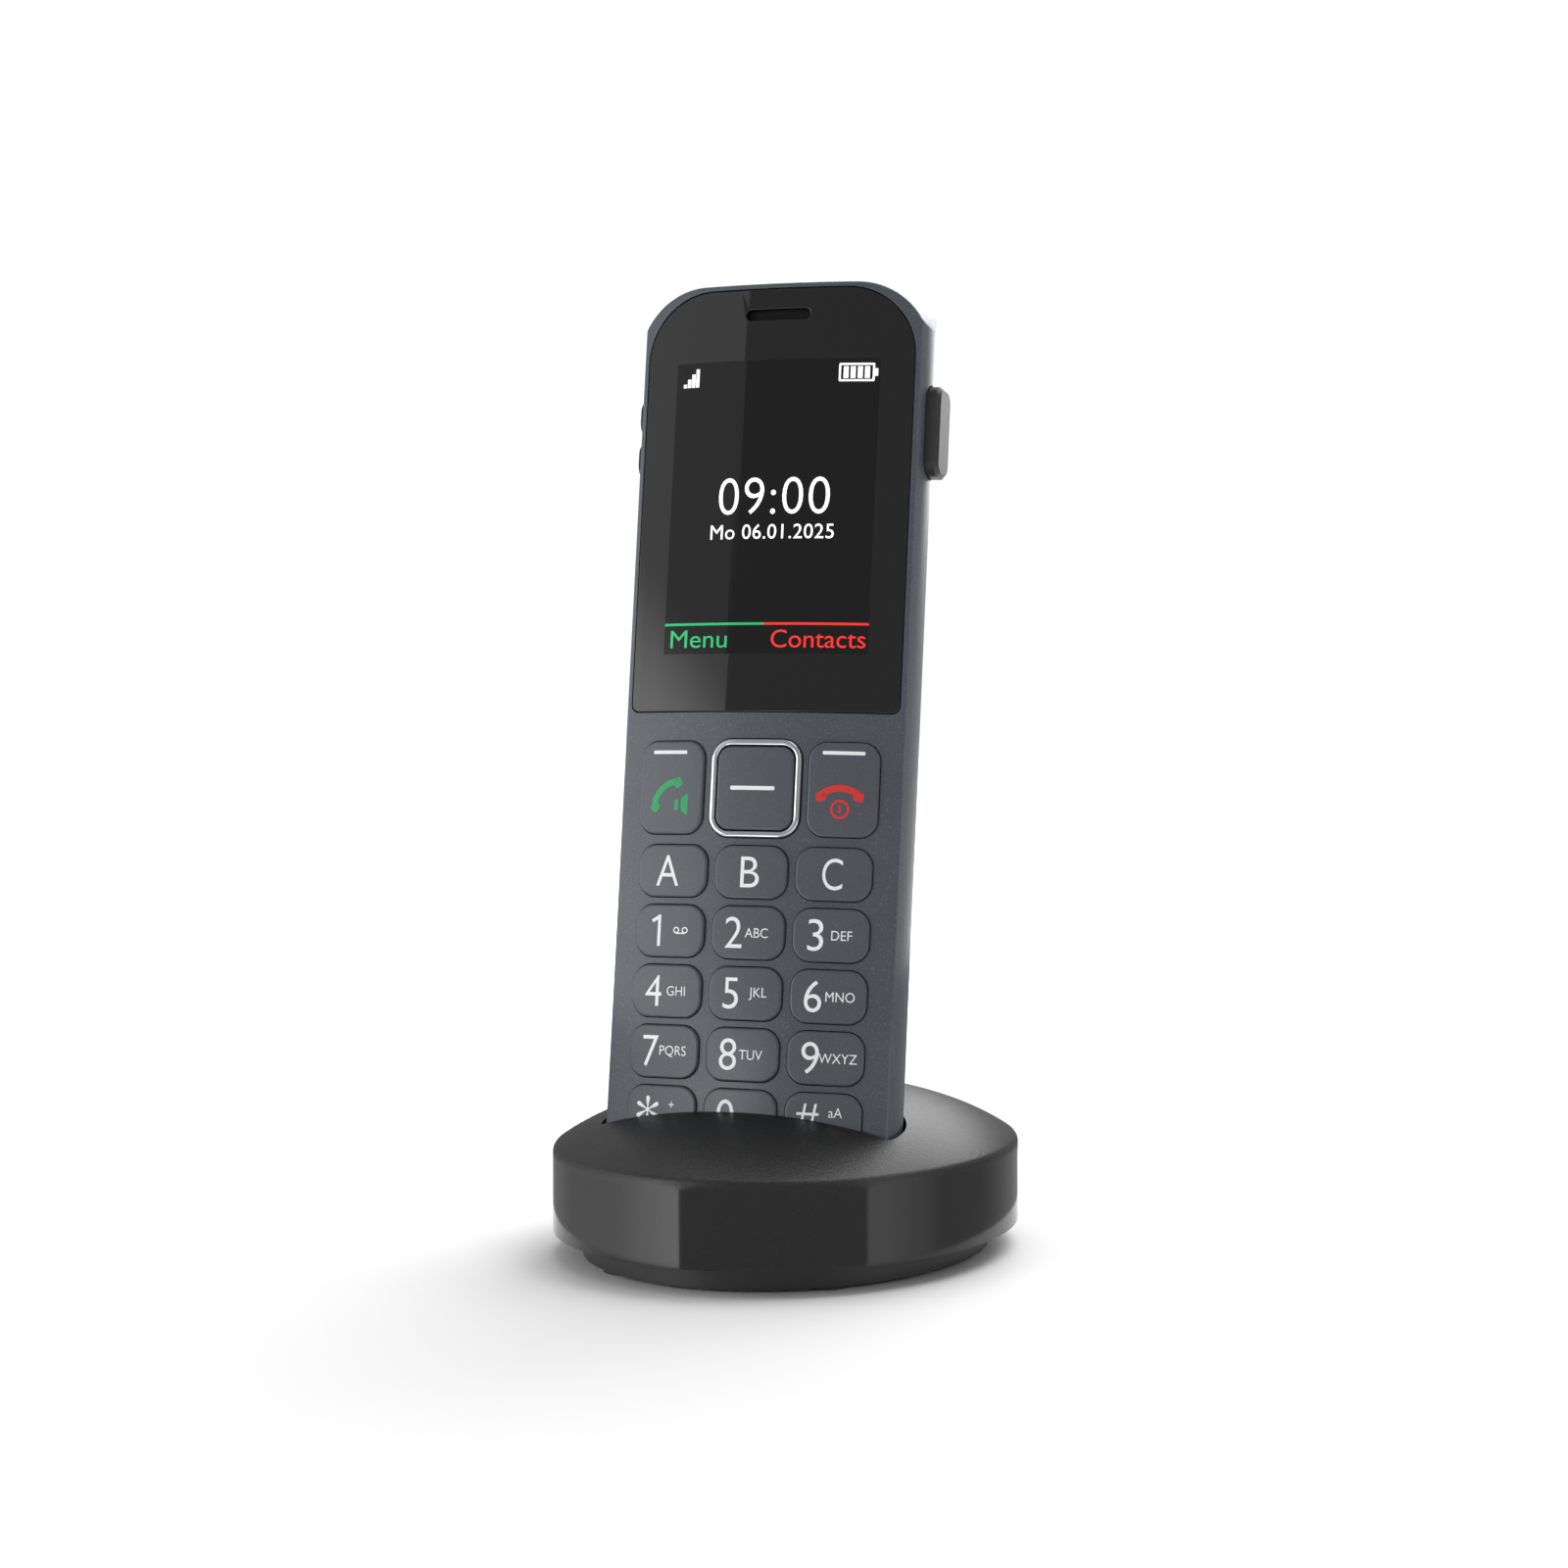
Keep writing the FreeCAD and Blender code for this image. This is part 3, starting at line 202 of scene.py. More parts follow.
finishes = {
    "slate": {"colour": (0.062, 0.071, 0.087), "fleckColour": (0.2, 0.21, 0.23), "scale": 6500.0, "flecks": 0.3,
              "shade": 0.3, "roughness": 0.33, "spread": 0.14, "bump": 0.4, "bumpHeight": 0.00002},
    "keySlate": {"colour": (0.066, 0.075, 0.09), "fleckColour": (0.17, 0.18, 0.2), "scale": 6500.0,
                 "flecks": 0.2, "shade": 0.18, "roughness": 0.34, "spread": 0.1, "bump": 0.25,
                 "bumpHeight": 0.00002},
    "windowBlack": {"colour": (0.003, 0.003, 0.003), "shade": 0.1, "flecks": 0.0, "roughness": 0.03,
                    "spread": 0.01, "bump": 0.02, "scale": 200.0},
    "screenBlack": {"colour": (0.008, 0.008, 0.009), "shade": 0.1, "flecks": 0.0, "roughness": 0.03,
                    "spread": 0.01, "bump": 0.01, "scale": 300.0, "ior": 1.31},
    "chromeTrim": {"colour": (0.5, 0.52, 0.55), "shade": 0.05, "flecks": 0.0, "roughness": 0.09, "spread": 0.04,
                   "metallic": 1.0, "bump": 0.04, "scale": 2500.0},
    "sideBlack": {"colour": (0.017, 0.017, 0.018), "fleckColour": (0.06, 0.06, 0.06), "flecks": 0.1,
                  "shade": 0.2, "roughness": 0.42, "spread": 0.1, "bump": 0.3, "scale": 3000.0},
    "partBlack": {"colour": (0.02, 0.02, 0.022), "flecks": 0.05, "shade": 0.2, "roughness": 0.5, "bump": 0.3,
                  "scale": 2500.0},
    # black mesh behind the slot, coloured darker than the other black parts: painted shade for the depth of the
    # slot
    "meshBlackPaintedShade": {"colour": (0.004, 0.004, 0.004), "flecks": 0.0, "shade": 0.2, "roughness": 0.7, "bump": 0.3,
                  "scale": 3000.0, "ior": 1.3},
    "footRubber": {"colour": (0.03, 0.03, 0.03), "flecks": 0.0, "shade": 0.2, "roughness": 0.75, "bump": 0.4,
                   "scale": 2500.0},
    # printed key marks in white, green and red, each with a faint painted glow on top of its colour
    "legendWhitePaintedGlow": {"colour": (0.78, 0.79, 0.8), "flecks": 0.0, "shade": 0.05, "roughness": 0.4, "bump": 0.1,
                    "glow": 0.1, "scale": 3000.0},
    "legendGreenPaintedGlow": {"colour": (0.004, 0.3, 0.1), "flecks": 0.0, "shade": 0.05, "roughness": 0.4, "bump": 0.1,
                    "glow": 0.1, "scale": 3000.0},
    "legendRedPaintedGlow": {"colour": (0.6, 0.02, 0.016), "flecks": 0.0, "shade": 0.05, "roughness": 0.4, "bump": 0.1,
                  "glow": 0.1, "scale": 3000.0},
    "screenWhite": {"colour": (0.9, 0.9, 0.9), "flecks": 0.0, "shade": 0.03, "roughness": 0.05, "bump": 0.0,
                    "glow": 0.75, "scale": 3000.0},
    "screenGreen": {"colour": (0.006, 0.33, 0.1), "flecks": 0.0, "shade": 0.03, "roughness": 0.05, "bump": 0.0,
                    "glow": 0.75, "scale": 3000.0},
    "screenRed": {"colour": (0.62, 0.02, 0.014), "flecks": 0.0, "shade": 0.03, "roughness": 0.05, "bump": 0.0,
                  "glow": 0.75, "scale": 3000.0},
    "steel": {"colour": (0.55, 0.55, 0.56), "flecks": 0.0, "shade": 0.1, "roughness": 0.3, "metallic": 1.0,
              "bump": 0.1, "scale": 2500.0},
    "gold": {"colour": (0.85, 0.6, 0.22), "flecks": 0.0, "shade": 0.1, "roughness": 0.22, "metallic": 1.0,
             "bump": 0.05, "scale": 2500.0},
    "boardGreen": {"colour": (0.02, 0.13, 0.05), "fleckColour": (0.1, 0.3, 0.15), "flecks": 0.2, "shade": 0.25,
                   "roughness": 0.35, "bump": 0.2, "scale": 1500.0},
    "silicone": {"colour": (0.3, 0.31, 0.33), "flecks": 0.0, "shade": 0.1, "roughness": 0.6, "bump": 0.2,
                 "scale": 2500.0},
    "whitePart": {"colour": (0.7, 0.7, 0.69), "flecks": 0.0, "shade": 0.06, "roughness": 0.45, "bump": 0.15,
                  "scale": 2500.0},
    "cellJacket": {"colour": (0.03, 0.1, 0.2), "fleckColour": (0.2, 0.3, 0.4), "flecks": 0.1, "shade": 0.1,
                   "roughness": 0.25, "bump": 0.05, "scale": 1500.0},
}
materials = {name: plastic(name, look) for name, look in finishes.items()}


def makeCradleBlack():
    # grained dome over a smooth glossy side, parted at the rim
    look = {"colour": (0.0085, 0.0085, 0.0088), "fleckColour": (0.03, 0.03, 0.03), "scale": 2300.0,
            "flecks": 0.1, "shade": 0.3, "roughness": 0.42, "spread": 0.16, "bump": 0.9, "bumpHeight": 0.00006,
            "ior": 1.42}
    rim = {"height": 17.6 * mm, "blend": 1.2 * mm, "sideRoughness": 0.1, "sideGrain": 0.03}
    material = plastic("cradleBlack", look)
    tree = material.node_tree
    shader = next(n for n in tree.nodes if n.type == "BSDF_PRINCIPLED")
    bump = next(n for n in tree.nodes if n.type == "BUMP")
    grain = next(n for n in tree.nodes if n.type == "GROUP")
    place = tree.nodes.new("ShaderNodeSeparateXYZ")
    tree.links.new(tree.nodes.new("ShaderNodeTexCoord").outputs["Object"], place.inputs[0])
    level = mathNode(tree, "SUBTRACT", place.outputs["Z"], rim["height"] - rim["blend"] / 2)
    top = mathNode(tree, "DIVIDE", level, rim["blend"], True)
    rough = mathNode(tree, "SUBTRACT", grain.outputs["Roughness"], rim["sideRoughness"])
    rough = mathNode(tree, "ADD", mathNode(tree, "MULTIPLY", rough, top), rim["sideRoughness"])
    tree.links.new(rough, shader.inputs["Roughness"])
    height = mathNode(tree, "ADD", top, rim["sideGrain"])
    height = mathNode(tree, "MULTIPLY", grain.outputs["Height"], height)
    tree.links.new(height, bump.inputs["Height"])
    return material


materials["cradleBlack"] = makeCradleBlack()
finishOfSlot = {
    "slate_plastic": "slate", "key_plastic": "keySlate", "black_window": "windowBlack",
    "display": "screenBlack", "white_frame": "whitePart", "board": "boardGreen", "silicone": "silicone",
    "steel": "steel",
    "chrome_trim": "chromeTrim", "gold_contact": "gold", "black_part": "partBlack", "side_black": "sideBlack",
    "cell_jacket": "cellJacket", "cradle_black": "cradleBlack", "cradle_foot": "partBlack",
    "foot_rubber": "footRubber", "mesh_black": "meshBlackPaintedShade",
}
for name, node in nodes.items():
    node.data.materials.clear()
    node.data.materials.append(materials[finishOfSlot[slotOf[name]]])
print("materials ready")


# shells and keys: the CAD shapes with joined faces and smooth shading

def dress(node, sharp=28):
    # a joined, smoothly shaded copy that stands for a CAD node
    piece = nodes[node].copy()
    piece.data = nodes[node].data.copy()
    piece.name = node + "_skin"
    for key in list(piece.keys()):
        del piece[key]
    bpy.context.scene.collection.objects.link(piece)
    mesh = bmesh.new()
    mesh.from_mesh(piece.data)
    bmesh.ops.remove_doubles(mesh, verts=mesh.verts, dist=0.002 * mm)
    bmesh.ops.dissolve_degenerate(mesh, edges=mesh.edges, dist=0.001 * mm)
    for face in mesh.faces:
        face.smooth = True
    for edge in mesh.edges:
        edge.smooth = edge.is_manifold and edge.calc_face_angle(0) < math.radians(sharp)
    mesh.to_mesh(piece.data)
    mesh.free()
    if piece.data.has_custom_normals:
        with bpy.context.temp_override(object=piece, active_object=piece):
            bpy.ops.mesh.customdata_custom_splitnormals_clear()
    weighted = piece.modifiers.new("weighted", "WEIGHTED_NORMAL")
    weighted.keep_sharp = True
    piece.parent = None
    piece.matrix_world = Matrix.Identity(4)
    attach(piece, bodyOf[node])
    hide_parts(node)


keyNodes = [name for name in nodes if name.startswith("key_")] + ["nav_key"]
for name in keyNodes + ["front_housing", "rear_housing", "battery_cover", "display_window", "nav_ring",
                        "side_key", "volume_rocker", "cradle_top_shell", "cradle_base_plate", "power_inlet"]:
    dress(name)
print("shells and keys dressed")


# thin printed marks that lie on the crowned face

markThickness = 0.02
stripWidth = 1.2


def finishMark(mesh, name, x, z, rise, body, finish, lift=0.012):
    # cuts a flat mark into strips, bends it to the face at (x, z) and puts it on its body; millimetres
    left = min(v.co.x for v in mesh.verts)
    right = max(v.co.x for v in mesh.verts)
    cuts = int((right - left) / stripWidth)
    for i in range(1, cuts + 1):
        everything = list(mesh.verts) + list(mesh.edges) + list(mesh.faces)
        bmesh.ops.bisect_plane(mesh, geom=everything, plane_co=(left + (right - left) * i / (cuts + 1), 0, 0),
                               plane_no=(1, 0, 0))
    for vert in mesh.verts:
        px = (x + vert.co.x) * mm
        depth = crownDepth(px) - (rise + lift + vert.co.z) * mm
        vert.co = spot(px, depth, (z + vert.co.y) * mm)
    bmesh.ops.recalc_face_normals(mesh, faces=mesh.faces)
    data = bpy.data.meshes.new(name)
    mesh.to_mesh(data)
    mesh.free()
    data.materials.append(materials[finish])
    piece = bpy.data.objects.new(name, data)
    bpy.context.scene.collection.objects.link(piece)
    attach(piece, body)


def addText(mesh, words, size, x=0, y=0, thin=0, stretch=1.0, spacing=1.0):
    # adds a line of text, its middle at (x, y), to a mark
    curve = bpy.data.curves.new("words", "FONT")
    curve.body = words
    curve.size = size
    curve.align_x = "CENTER"
    curve.offset = -thin
    curve.space_character = spacing
    curve.extrude = markThickness / 2
    curve.resolution_u = 5
    holder = bpy.data.objects.new("words", curve)
    bpy.context.scene.collection.objects.link(holder)
    bpy.context.view_layer.update()
    flat = bpy.data.meshes.new_from_object(holder)
    lowest = [min(v.co[i] for v in flat.vertices) for i in (0, 1)]
    highest = [max(v.co[i] for v in flat.vertices) for i in (0, 1)]
    middle = [(low + high) / 2 for low, high in zip(lowest, highest)]
    flat.transform(Matrix.Translation((x - middle[0] * stretch, y - middle[1], markThickness / 2))
                   @ Matrix.Diagonal((stretch, 1, 1, 1)))
    mesh.from_mesh(flat)
    bpy.data.objects.remove(holder)
    bpy.data.curves.remove(curve)
    bpy.data.meshes.remove(flat)


def thicken(mesh, x, y, turn):
    # turns and moves a flat shape that stands alone in its mesh, and gives it its thickness
    bmesh.ops.rotate(mesh, verts=mesh.verts, cent=(0, 0, 0), matrix=Matrix.Rotation(turn, 3, "Z"))
    bmesh.ops.translate(mesh, verts=mesh.verts, vec=(x, y, 0))
    raised = bmesh.ops.extrude_face_region(mesh, geom=list(mesh.faces))
    bmesh.ops.translate(mesh, verts=[v for v in raised["geom"] if isinstance(v, bmesh.types.BMVert)],
                        vec=(0, 0, markThickness))
    return mesh


def bar(x, y, width, height, corner=0, turn=0, flare=1.0):
    # a flat bar with round corners, wider at its right end where it flares
    mesh = bmesh.new()
    bmesh.ops.create_grid(mesh, x_segments=1, y_segments=1, size=0.5)
    bmesh.ops.scale(mesh, verts=mesh.verts, vec=(width, height, 1))
    for vert in mesh.verts:
        vert.co.y *= flare if vert.co.x > 0 else 1
    if corner:
        bmesh.ops.bevel(mesh, geom=list(mesh.verts), affect="VERTICES", offset=corner, segments=5, profile=0.5,
                        material=-1)
    return thicken(mesh, x, y, turn)


def arc(x, y, radius, width, start, sweep, steps=24):
    # a flat band bent round a centre, angles in degrees
    mesh = bmesh.new()
    inner = mesh.verts.new((radius - width / 2, 0, 0))
    outer = mesh.verts.new((radius + width / 2, 0, 0))
    edge = mesh.edges.new((inner, outer))
    bmesh.ops.spin(mesh, geom=[inner, outer, edge], cent=(0, 0, 0), axis=(0, 0, 1), angle=math.radians(sweep),
                   steps=steps, use_merge=sweep >= 360)
    bmesh.ops.recalc_face_normals(mesh, faces=mesh.faces)
    return thicken(mesh, x, y, math.radians(start))


def merge(target, source, x=0, y=0, turn=0):
    # adds one mark to another, turned and moved
    source.transform(Matrix.Translation((x, y, 0)) @ Matrix.Rotation(turn, 4, "Z"))
    data = bpy.data.meshes.new("part")
    source.to_mesh(data)
    source.free()
    target.from_mesh(data)
    bpy.data.meshes.remove(data)


keyRise = -span("key_5")[0].y / mm


def keyMiddle(node):
    # the middle of a key on the face, in millimetres
    low, high = span(node)
    return (low.x + high.x) / 2 / mm, (low.z + high.z) / 2 / mm


# big sign, its width, small letters and how far right of the key's middle they stand; a letter key
# has no small letters, and its last number moves the letter itself
legends = {
    "key_a": ("A", 0.84, "", -0.8), "key_b": ("B", 0.94, "", 0), "key_c": ("C", 0.74, "", 0),
    "key_1": ("1", 0.9, "", 2.1), "key_2": ("2", 0.94, "ABC", 1.6), "key_3": ("3", 1.0, "DEF", 1.95),
    "key_4": ("4", 0.88, "GHI", 1.8), "key_5": ("5", 0.94, "JKL", 2.35), "key_6": ("6", 0.94, "MNO", 2.15),
    "key_7": ("7", 0.9, "PQRS", 1.75), "key_8": ("8", 0.94, "TUV", 1.6), "key_9": ("9", 0.94, "WXYZ", 2.2),
    "key_star": ("*", 1.0, "+", 2.0), "key_0": ("0", 0.94, "_", 2.0), "key_hash": ("#", 0.85, "aA", 2.2),
}
keyPrint = {"bigSize": 7.7, "digitX": -2.45, "letterX": -0.05, "thin": 0.045, "smallSize": 2.35,
            "smallWidth": 0.92, "smallThin": 0.01, "raised": 1.3, "starSize": 1.35, "starY": 0.3}
oneKey = {"stem": (-1.95, 0, 0.56, 5.3), "flag": (-2.6, 1.95, 1.6, 0.56), "flagTurn": 30,
          "loop": (0.1, 0.45, 0.22), "loopSide": 0.8, "base": (-0.42, 1.7, 0.22)}


def oneLegend(mark, signX):
    # the digit one from a stem and a flag, and a message sign of two loops on a base
    merge(mark, bar(*oneKey["stem"]))
    merge(mark, bar(*oneKey["flag"], turn=math.radians(oneKey["flagTurn"])))
    for side in (-1, 1):
        merge(mark, arc(signX + side * oneKey["loopSide"], *oneKey["loop"], 0, 360))
    merge(mark, bar(signX, *oneKey["base"]))


def digitLegend(mark, name, big, width, small, smallX):
    # a big sign at the left of the key and small letters at its right
    star = big == "*"
    size = keyPrint["bigSize"] * (keyPrint["starSize"] if star else 1)
    addText(mark, big, size, keyPrint["digitX"], keyPrint["starY"] if star else 0,
            0 if star else keyPrint["thin"], width)
    smallY = keyPrint["raised"] if name in ("key_star", "key_hash") else 0
    addText(mark, small, keyPrint["smallSize"], smallX, smallY, keyPrint["smallThin"], keyPrint["smallWidth"])


for name, (big, width, small, place) in legends.items():
    x, z = keyMiddle(name)
    mark = bmesh.new()
    if name == "key_1":
        oneLegend(mark, place)
    elif small:
        digitLegend(mark, name, big, width, small, place)
    else:
        addText(mark, big, keyPrint["bigSize"], place + keyPrint["letterX"], 0, keyPrint["thin"], width)
    finishMark(mark, name + "_legend", x, z, keyRise, bodyOf[name], "legendWhitePaintedGlow")

# each line's place on its key, its width and its height
lineLook = {"talk": (-0.5, 6.0, 6.4, 0.6), "end": (0, 6.15, 7.2, 0.6), "nav": (-0.35, 0, 7.9, 0.68)}
lineCorner = 0.3
for word, node in (("talk", "key_talk"), ("end", "key_end"), ("nav", "nav_key")):
    x, z = keyMiddle(node)
    height = lineLook[word][3]
    finishMark(bar(*lineLook[word], height * lineCorner), word + "_key_line", x, z, keyRise, bodyOf[node],
               "legendWhitePaintedGlow")


def receiverSign(look):
    # a telephone receiver seen from the side, hollow side down, its box round the origin
    half = math.radians(look["halfSweep"])
    drop = look["radius"] * (1 - math.cos(half))
    cupX = look["radius"] * math.sin(half) - look["cupInset"]
    sign = arc(0, drop / 2 - look["radius"], look["radius"], look["grip"], 90 - look["halfSweep"],
               2 * look["halfSweep"])
    for side in (-1, 1):
        merge(sign, bar(side * cupX, -drop / 2 - look["cupInset"], *look["cup"], look["cupCorner"],
                        turn=math.radians(-side * look["cupTurn"])))
    return sign


talkLook = {
    "receiver": {"radius": 4.6, "grip": 1.1, "halfSweep": 42, "cup": (1.6, 1.5), "cupInset": 0.15,
                 "cupCorner": 0.35, "cupTurn": 12},
    "place": (-1.35, -0.75), "turn": 45, "speaker": (1.1, -3.0, 0.75, 1.8, 0.1), "horn": (2.6, -2.9, 1.3, 2.1),
    "flare": 1.85,
}
x, z = keyMiddle("key_talk")
talkSign = bmesh.new()
merge(talkSign, receiverSign(talkLook["receiver"]), *talkLook["place"], math.radians(talkLook["turn"]))
merge(talkSign, bar(*talkLook["speaker"]))
merge(talkSign, bar(*talkLook["horn"], flare=talkLook["flare"]))
finishMark(talkSign, "talk_key_sign", x, z, keyRise, "key_talk", "legendGreenPaintedGlow")

endLook = {
    "receiver": {"radius": 4.9, "grip": 1.1, "halfSweep": 43, "cup": (1.7, 1.5), "cupInset": 0.15,
                 "cupCorner": 0.35, "cupTurn": 12},
    "place": (-0.4, -0.4), "circle": (-0.3, -3.3, 1.42, 0.42), "stroke": (-0.3, -3.3, 0.42, 1.3),
}
x, z = keyMiddle("key_end")
endSign = bmesh.new()
merge(endSign, receiverSign(endLook["receiver"]), *endLook["place"])
merge(endSign, arc(*endLook["circle"], 0, 360))
merge(endSign, bar(*endLook["stroke"]))
finishMark(endSign, "end_key_sign", x, z, keyRise, "key_end", "legendRedPaintedGlow")
print("key marks made")


# the picture on the display

screen = {"width": 36.7, "height": 50.6, "middle": 116.8, "panelLift": 0.004, "signLift": 0.03}

# each line of words: its text, size, offset, width, letter spacing, place from the middle, finish
screenWords = {
    "screen_clock": ("09:00", 9.3, 0.09, 0.94, 1.07, (0.75, 1.75), "screenWhite"),
    "screen_date": ("Mo 06.01.2025", 3.6, 0, 1.0, 1.04, (0.6, -4.4), "screenWhite"),
    "screen_menu": ("Menu", 4.4, 0, 1.14, 1.0, (-11.8, -22.75), "screenGreen"),
    "screen_contacts": ("Contacts", 4.4, 0, 1.04, 1.0, (9.7, -22.75), "screenRed"),
}
menuLine = {"height": 0.42, "y": -20.2}
signalLook = {"place": (-15.6, 22.6), "bars": 4, "first": 0.6, "step": 0.85, "pitch": 0.78, "left": -1.1,
              "foot": -1.55, "width": 0.62}
batteryLook = {"place": (14.4, 22.85), "width": 5.9, "line": 0.34, "halfHeight": 1.4, "sideX": 2.9,
               "sideHeight": 3.0, "corner": 0.1, "nub": (3.35, 0, 0.55, 1.3, 0.1), "cells": 4,
               "cellLeft": -1.85, "cellPitch": 1.22, "cell": (0.85, 2.0)}


def screenSign(mesh, name, x, y, finish):
    # a lit sign at a place from the middle of the display
    finishMark(mesh, name, x, screen["middle"] + y, 0, "handset", finish, screen["signLift"])


panel = bar(0, 0, screen["width"], screen["height"])
finishMark(panel, "screen_panel", 0, screen["middle"], 0, "handset", "screenBlack",
           screen["panelLift"])
for name, (words, size, thin, width, spacing, place, finish) in screenWords.items():
    sign = bmesh.new()
    addText(sign, words, size, 0, 0, thin, width, spacing)
    screenSign(sign, name, *place, finish)
for side, colour in ((-1, "green"), (1, "red")):
    line = bar(side * screen["width"] / 4, 0, screen["width"] / 2, menuLine["height"])
    screenSign(line, "screen_line_" + colour, 0, menuLine["y"], "screen" + colour.capitalize())
signal = bmesh.new()
for i in range(signalLook["bars"]):
    height = signalLook["first"] + signalLook["step"] * i
    merge(signal, bar(signalLook["left"] + signalLook["pitch"] * i, height / 2 + signalLook["foot"],
                      signalLook["width"], height))
screenSign(signal, "screen_signal", *signalLook["place"], "screenWhite")
battery = bmesh.new()
for side in (-1, 1):
    merge(battery, bar(0, side * batteryLook["halfHeight"], batteryLook["width"], batteryLook["line"]))
for side in (-1, 1):
    merge(battery, bar(side * batteryLook["sideX"], 0, batteryLook["line"], batteryLook["sideHeight"],
                       batteryLook["corner"]))
merge(battery, bar(*batteryLook["nub"]))
for i in range(batteryLook["cells"]):
    merge(battery, bar(batteryLook["cellLeft"] + batteryLook["cellPitch"] * i, 0, *batteryLook["cell"]))
screenSign(battery, "screen_battery", *batteryLook["place"], "screenWhite")
print("screen picture made")


# floor, lights and camera

def rampFrom(tree, value, start, end, low=0, high=1):
    # goes smoothly from low to high while a value goes from start to end
    ramp = tree.nodes.new("ShaderNodeMapRange")
    ramp.interpolation_type = "SMOOTHSTEP"
    tree.links.new(value, ramp.inputs["Value"])
    for label, number in (("From Min", start), ("From Max", end), ("To Min", low), ("To Max", high)):
        ramp.inputs[label].default_value = number
    return ramp.outputs["Result"]


def stageMesh(mesh, name, material):
    # turns a finished mesh into an object of the room
    data = bpy.data.meshes.new(name)
    mesh.to_mesh(data)
    mesh.free()
    data.materials.append(material)
    item = bpy.data.objects.new(name, data)
    bpy.context.scene.collection.objects.link(item)
    return item


def glowMaterial(name):
    # a material that only shines; its strength is linked by the caller
    material, tree, shader = startMaterial(name + "Glow")
    tree.nodes.remove(shader)
    light = tree.nodes.new("ShaderNodeEmission")
    output = next(n for n in tree.nodes if n.type == "OUTPUT_MATERIAL")
    tree.links.new(light.outputs[0], output.inputs["Surface"])
    return material, tree, light.inputs["Strength"]


def makeFloor():
    # a pale floor that turns into white light far from the phone
    look = {"size": 3, "fadeStart": 0.09, "fadeEnd": 0.55, "unseen": 0.15, "roughness": 0.6,
            "colour": (0.86, 0.86, 0.86, 1)}
    mesh = bmesh.new()
    bmesh.ops.create_grid(mesh, x_segments=1, y_segments=1, size=look["size"])
    material, tree, shader = startMaterial("paleFloor")
    shader.inputs["Base Color"].default_value = look["colour"]
    shader.inputs["Roughness"].default_value = look["roughness"]
    shader.inputs["Specular IOR Level"].default_value = 0
    shader.inputs["Emission Color"].default_value = (1, 1, 1, 1)
    distance = tree.nodes.new("ShaderNodeVectorMath")
    distance.operation = "LENGTH"
    tree.links.new(tree.nodes.new("ShaderNodeTexCoord").outputs["Object"], distance.inputs[0])
    fade = rampFrom(tree, distance.outputs["Value"], look["fadeStart"], look["fadeEnd"])
    seen = tree.nodes.new("ShaderNodeLightPath").outputs["Is Camera Ray"]
    share = mathNode(tree, "ADD", mathNode(tree, "MULTIPLY", seen, 1 - look["unseen"]), look["unseen"])
    tree.links.new(mathNode(tree, "MULTIPLY", fade, share), shader.inputs["Emission Strength"])
    stageMesh(mesh, "floor", material)


def glowCard(name, look):
    # an upright card of light round the phone; azimuth 0 is in front of it, positive to its right
    azimuth = math.radians(look["azimuth"])
    low, high = look["height"]
    middle = (low + high) / 2
    mesh = bmesh.new()
    bmesh.ops.create_grid(mesh, x_segments=1, y_segments=1, size=0.5)
    bmesh.ops.scale(mesh, verts=mesh.verts, vec=(look["width"], high - low, 1))
    material, tree, strength = glowMaterial(name)
    place = tree.nodes.new("ShaderNodeSeparateXYZ")
    tree.links.new(tree.nodes.new("ShaderNodeTexCoord").outputs["Object"], place.inputs[0])
    start, end = (level - middle for level in look["fade"])
    tree.links.new(rampFrom(tree, place.outputs["Y"], start, end, *look["radiance"]), strength)
    card = stageMesh(mesh, name, material)
    way = Vector((math.sin(azimuth), -math.cos(azimuth), 0))
    turn = way.to_track_quat("Z", "Y").to_matrix().to_4x4()
    card.matrix_world = Matrix.Translation(way * look["distance"] + Vector((0, 0, middle))) @ turn
    card.visible_camera = False


def softBox(name, look):
    # an area light aimed at the phone
    azimuth = math.radians(look["azimuth"])
    elevation = math.radians(look["elevation"])
    way = Vector((math.sin(azimuth) * math.cos(elevation), -math.cos(azimuth) * math.cos(elevation),
                  math.sin(elevation)))
    light = bpy.data.lights.new(name, "AREA")
    light.shape = "RECTANGLE"
    light.size, light.size_y = look["size"]
    light.energy = look["radiance"] * light.size * light.size_y * math.pi
    lamp = bpy.data.objects.new(name, light)
    lamp.location = Vector((0, 0, look["aim"])) + way * look["distance"]
    lamp.rotation_euler = way.to_track_quat("Z", "Y").to_euler()
    lamp.visible_camera = False
    bpy.context.scene.collection.objects.link(lamp)


def stepped(steps, spacing=4):
    # puts more steps between those given, so that the strip bends smoothly
    fine = []
    for (start, low), (end, high) in zip(steps, steps[1:]):
        count = max(1, round((end - start) / spacing))
        fine += [(start + (end - start) * i / count, low + (high - low) * i / count) for i in range(count)]
    return fine + [steps[-1]]


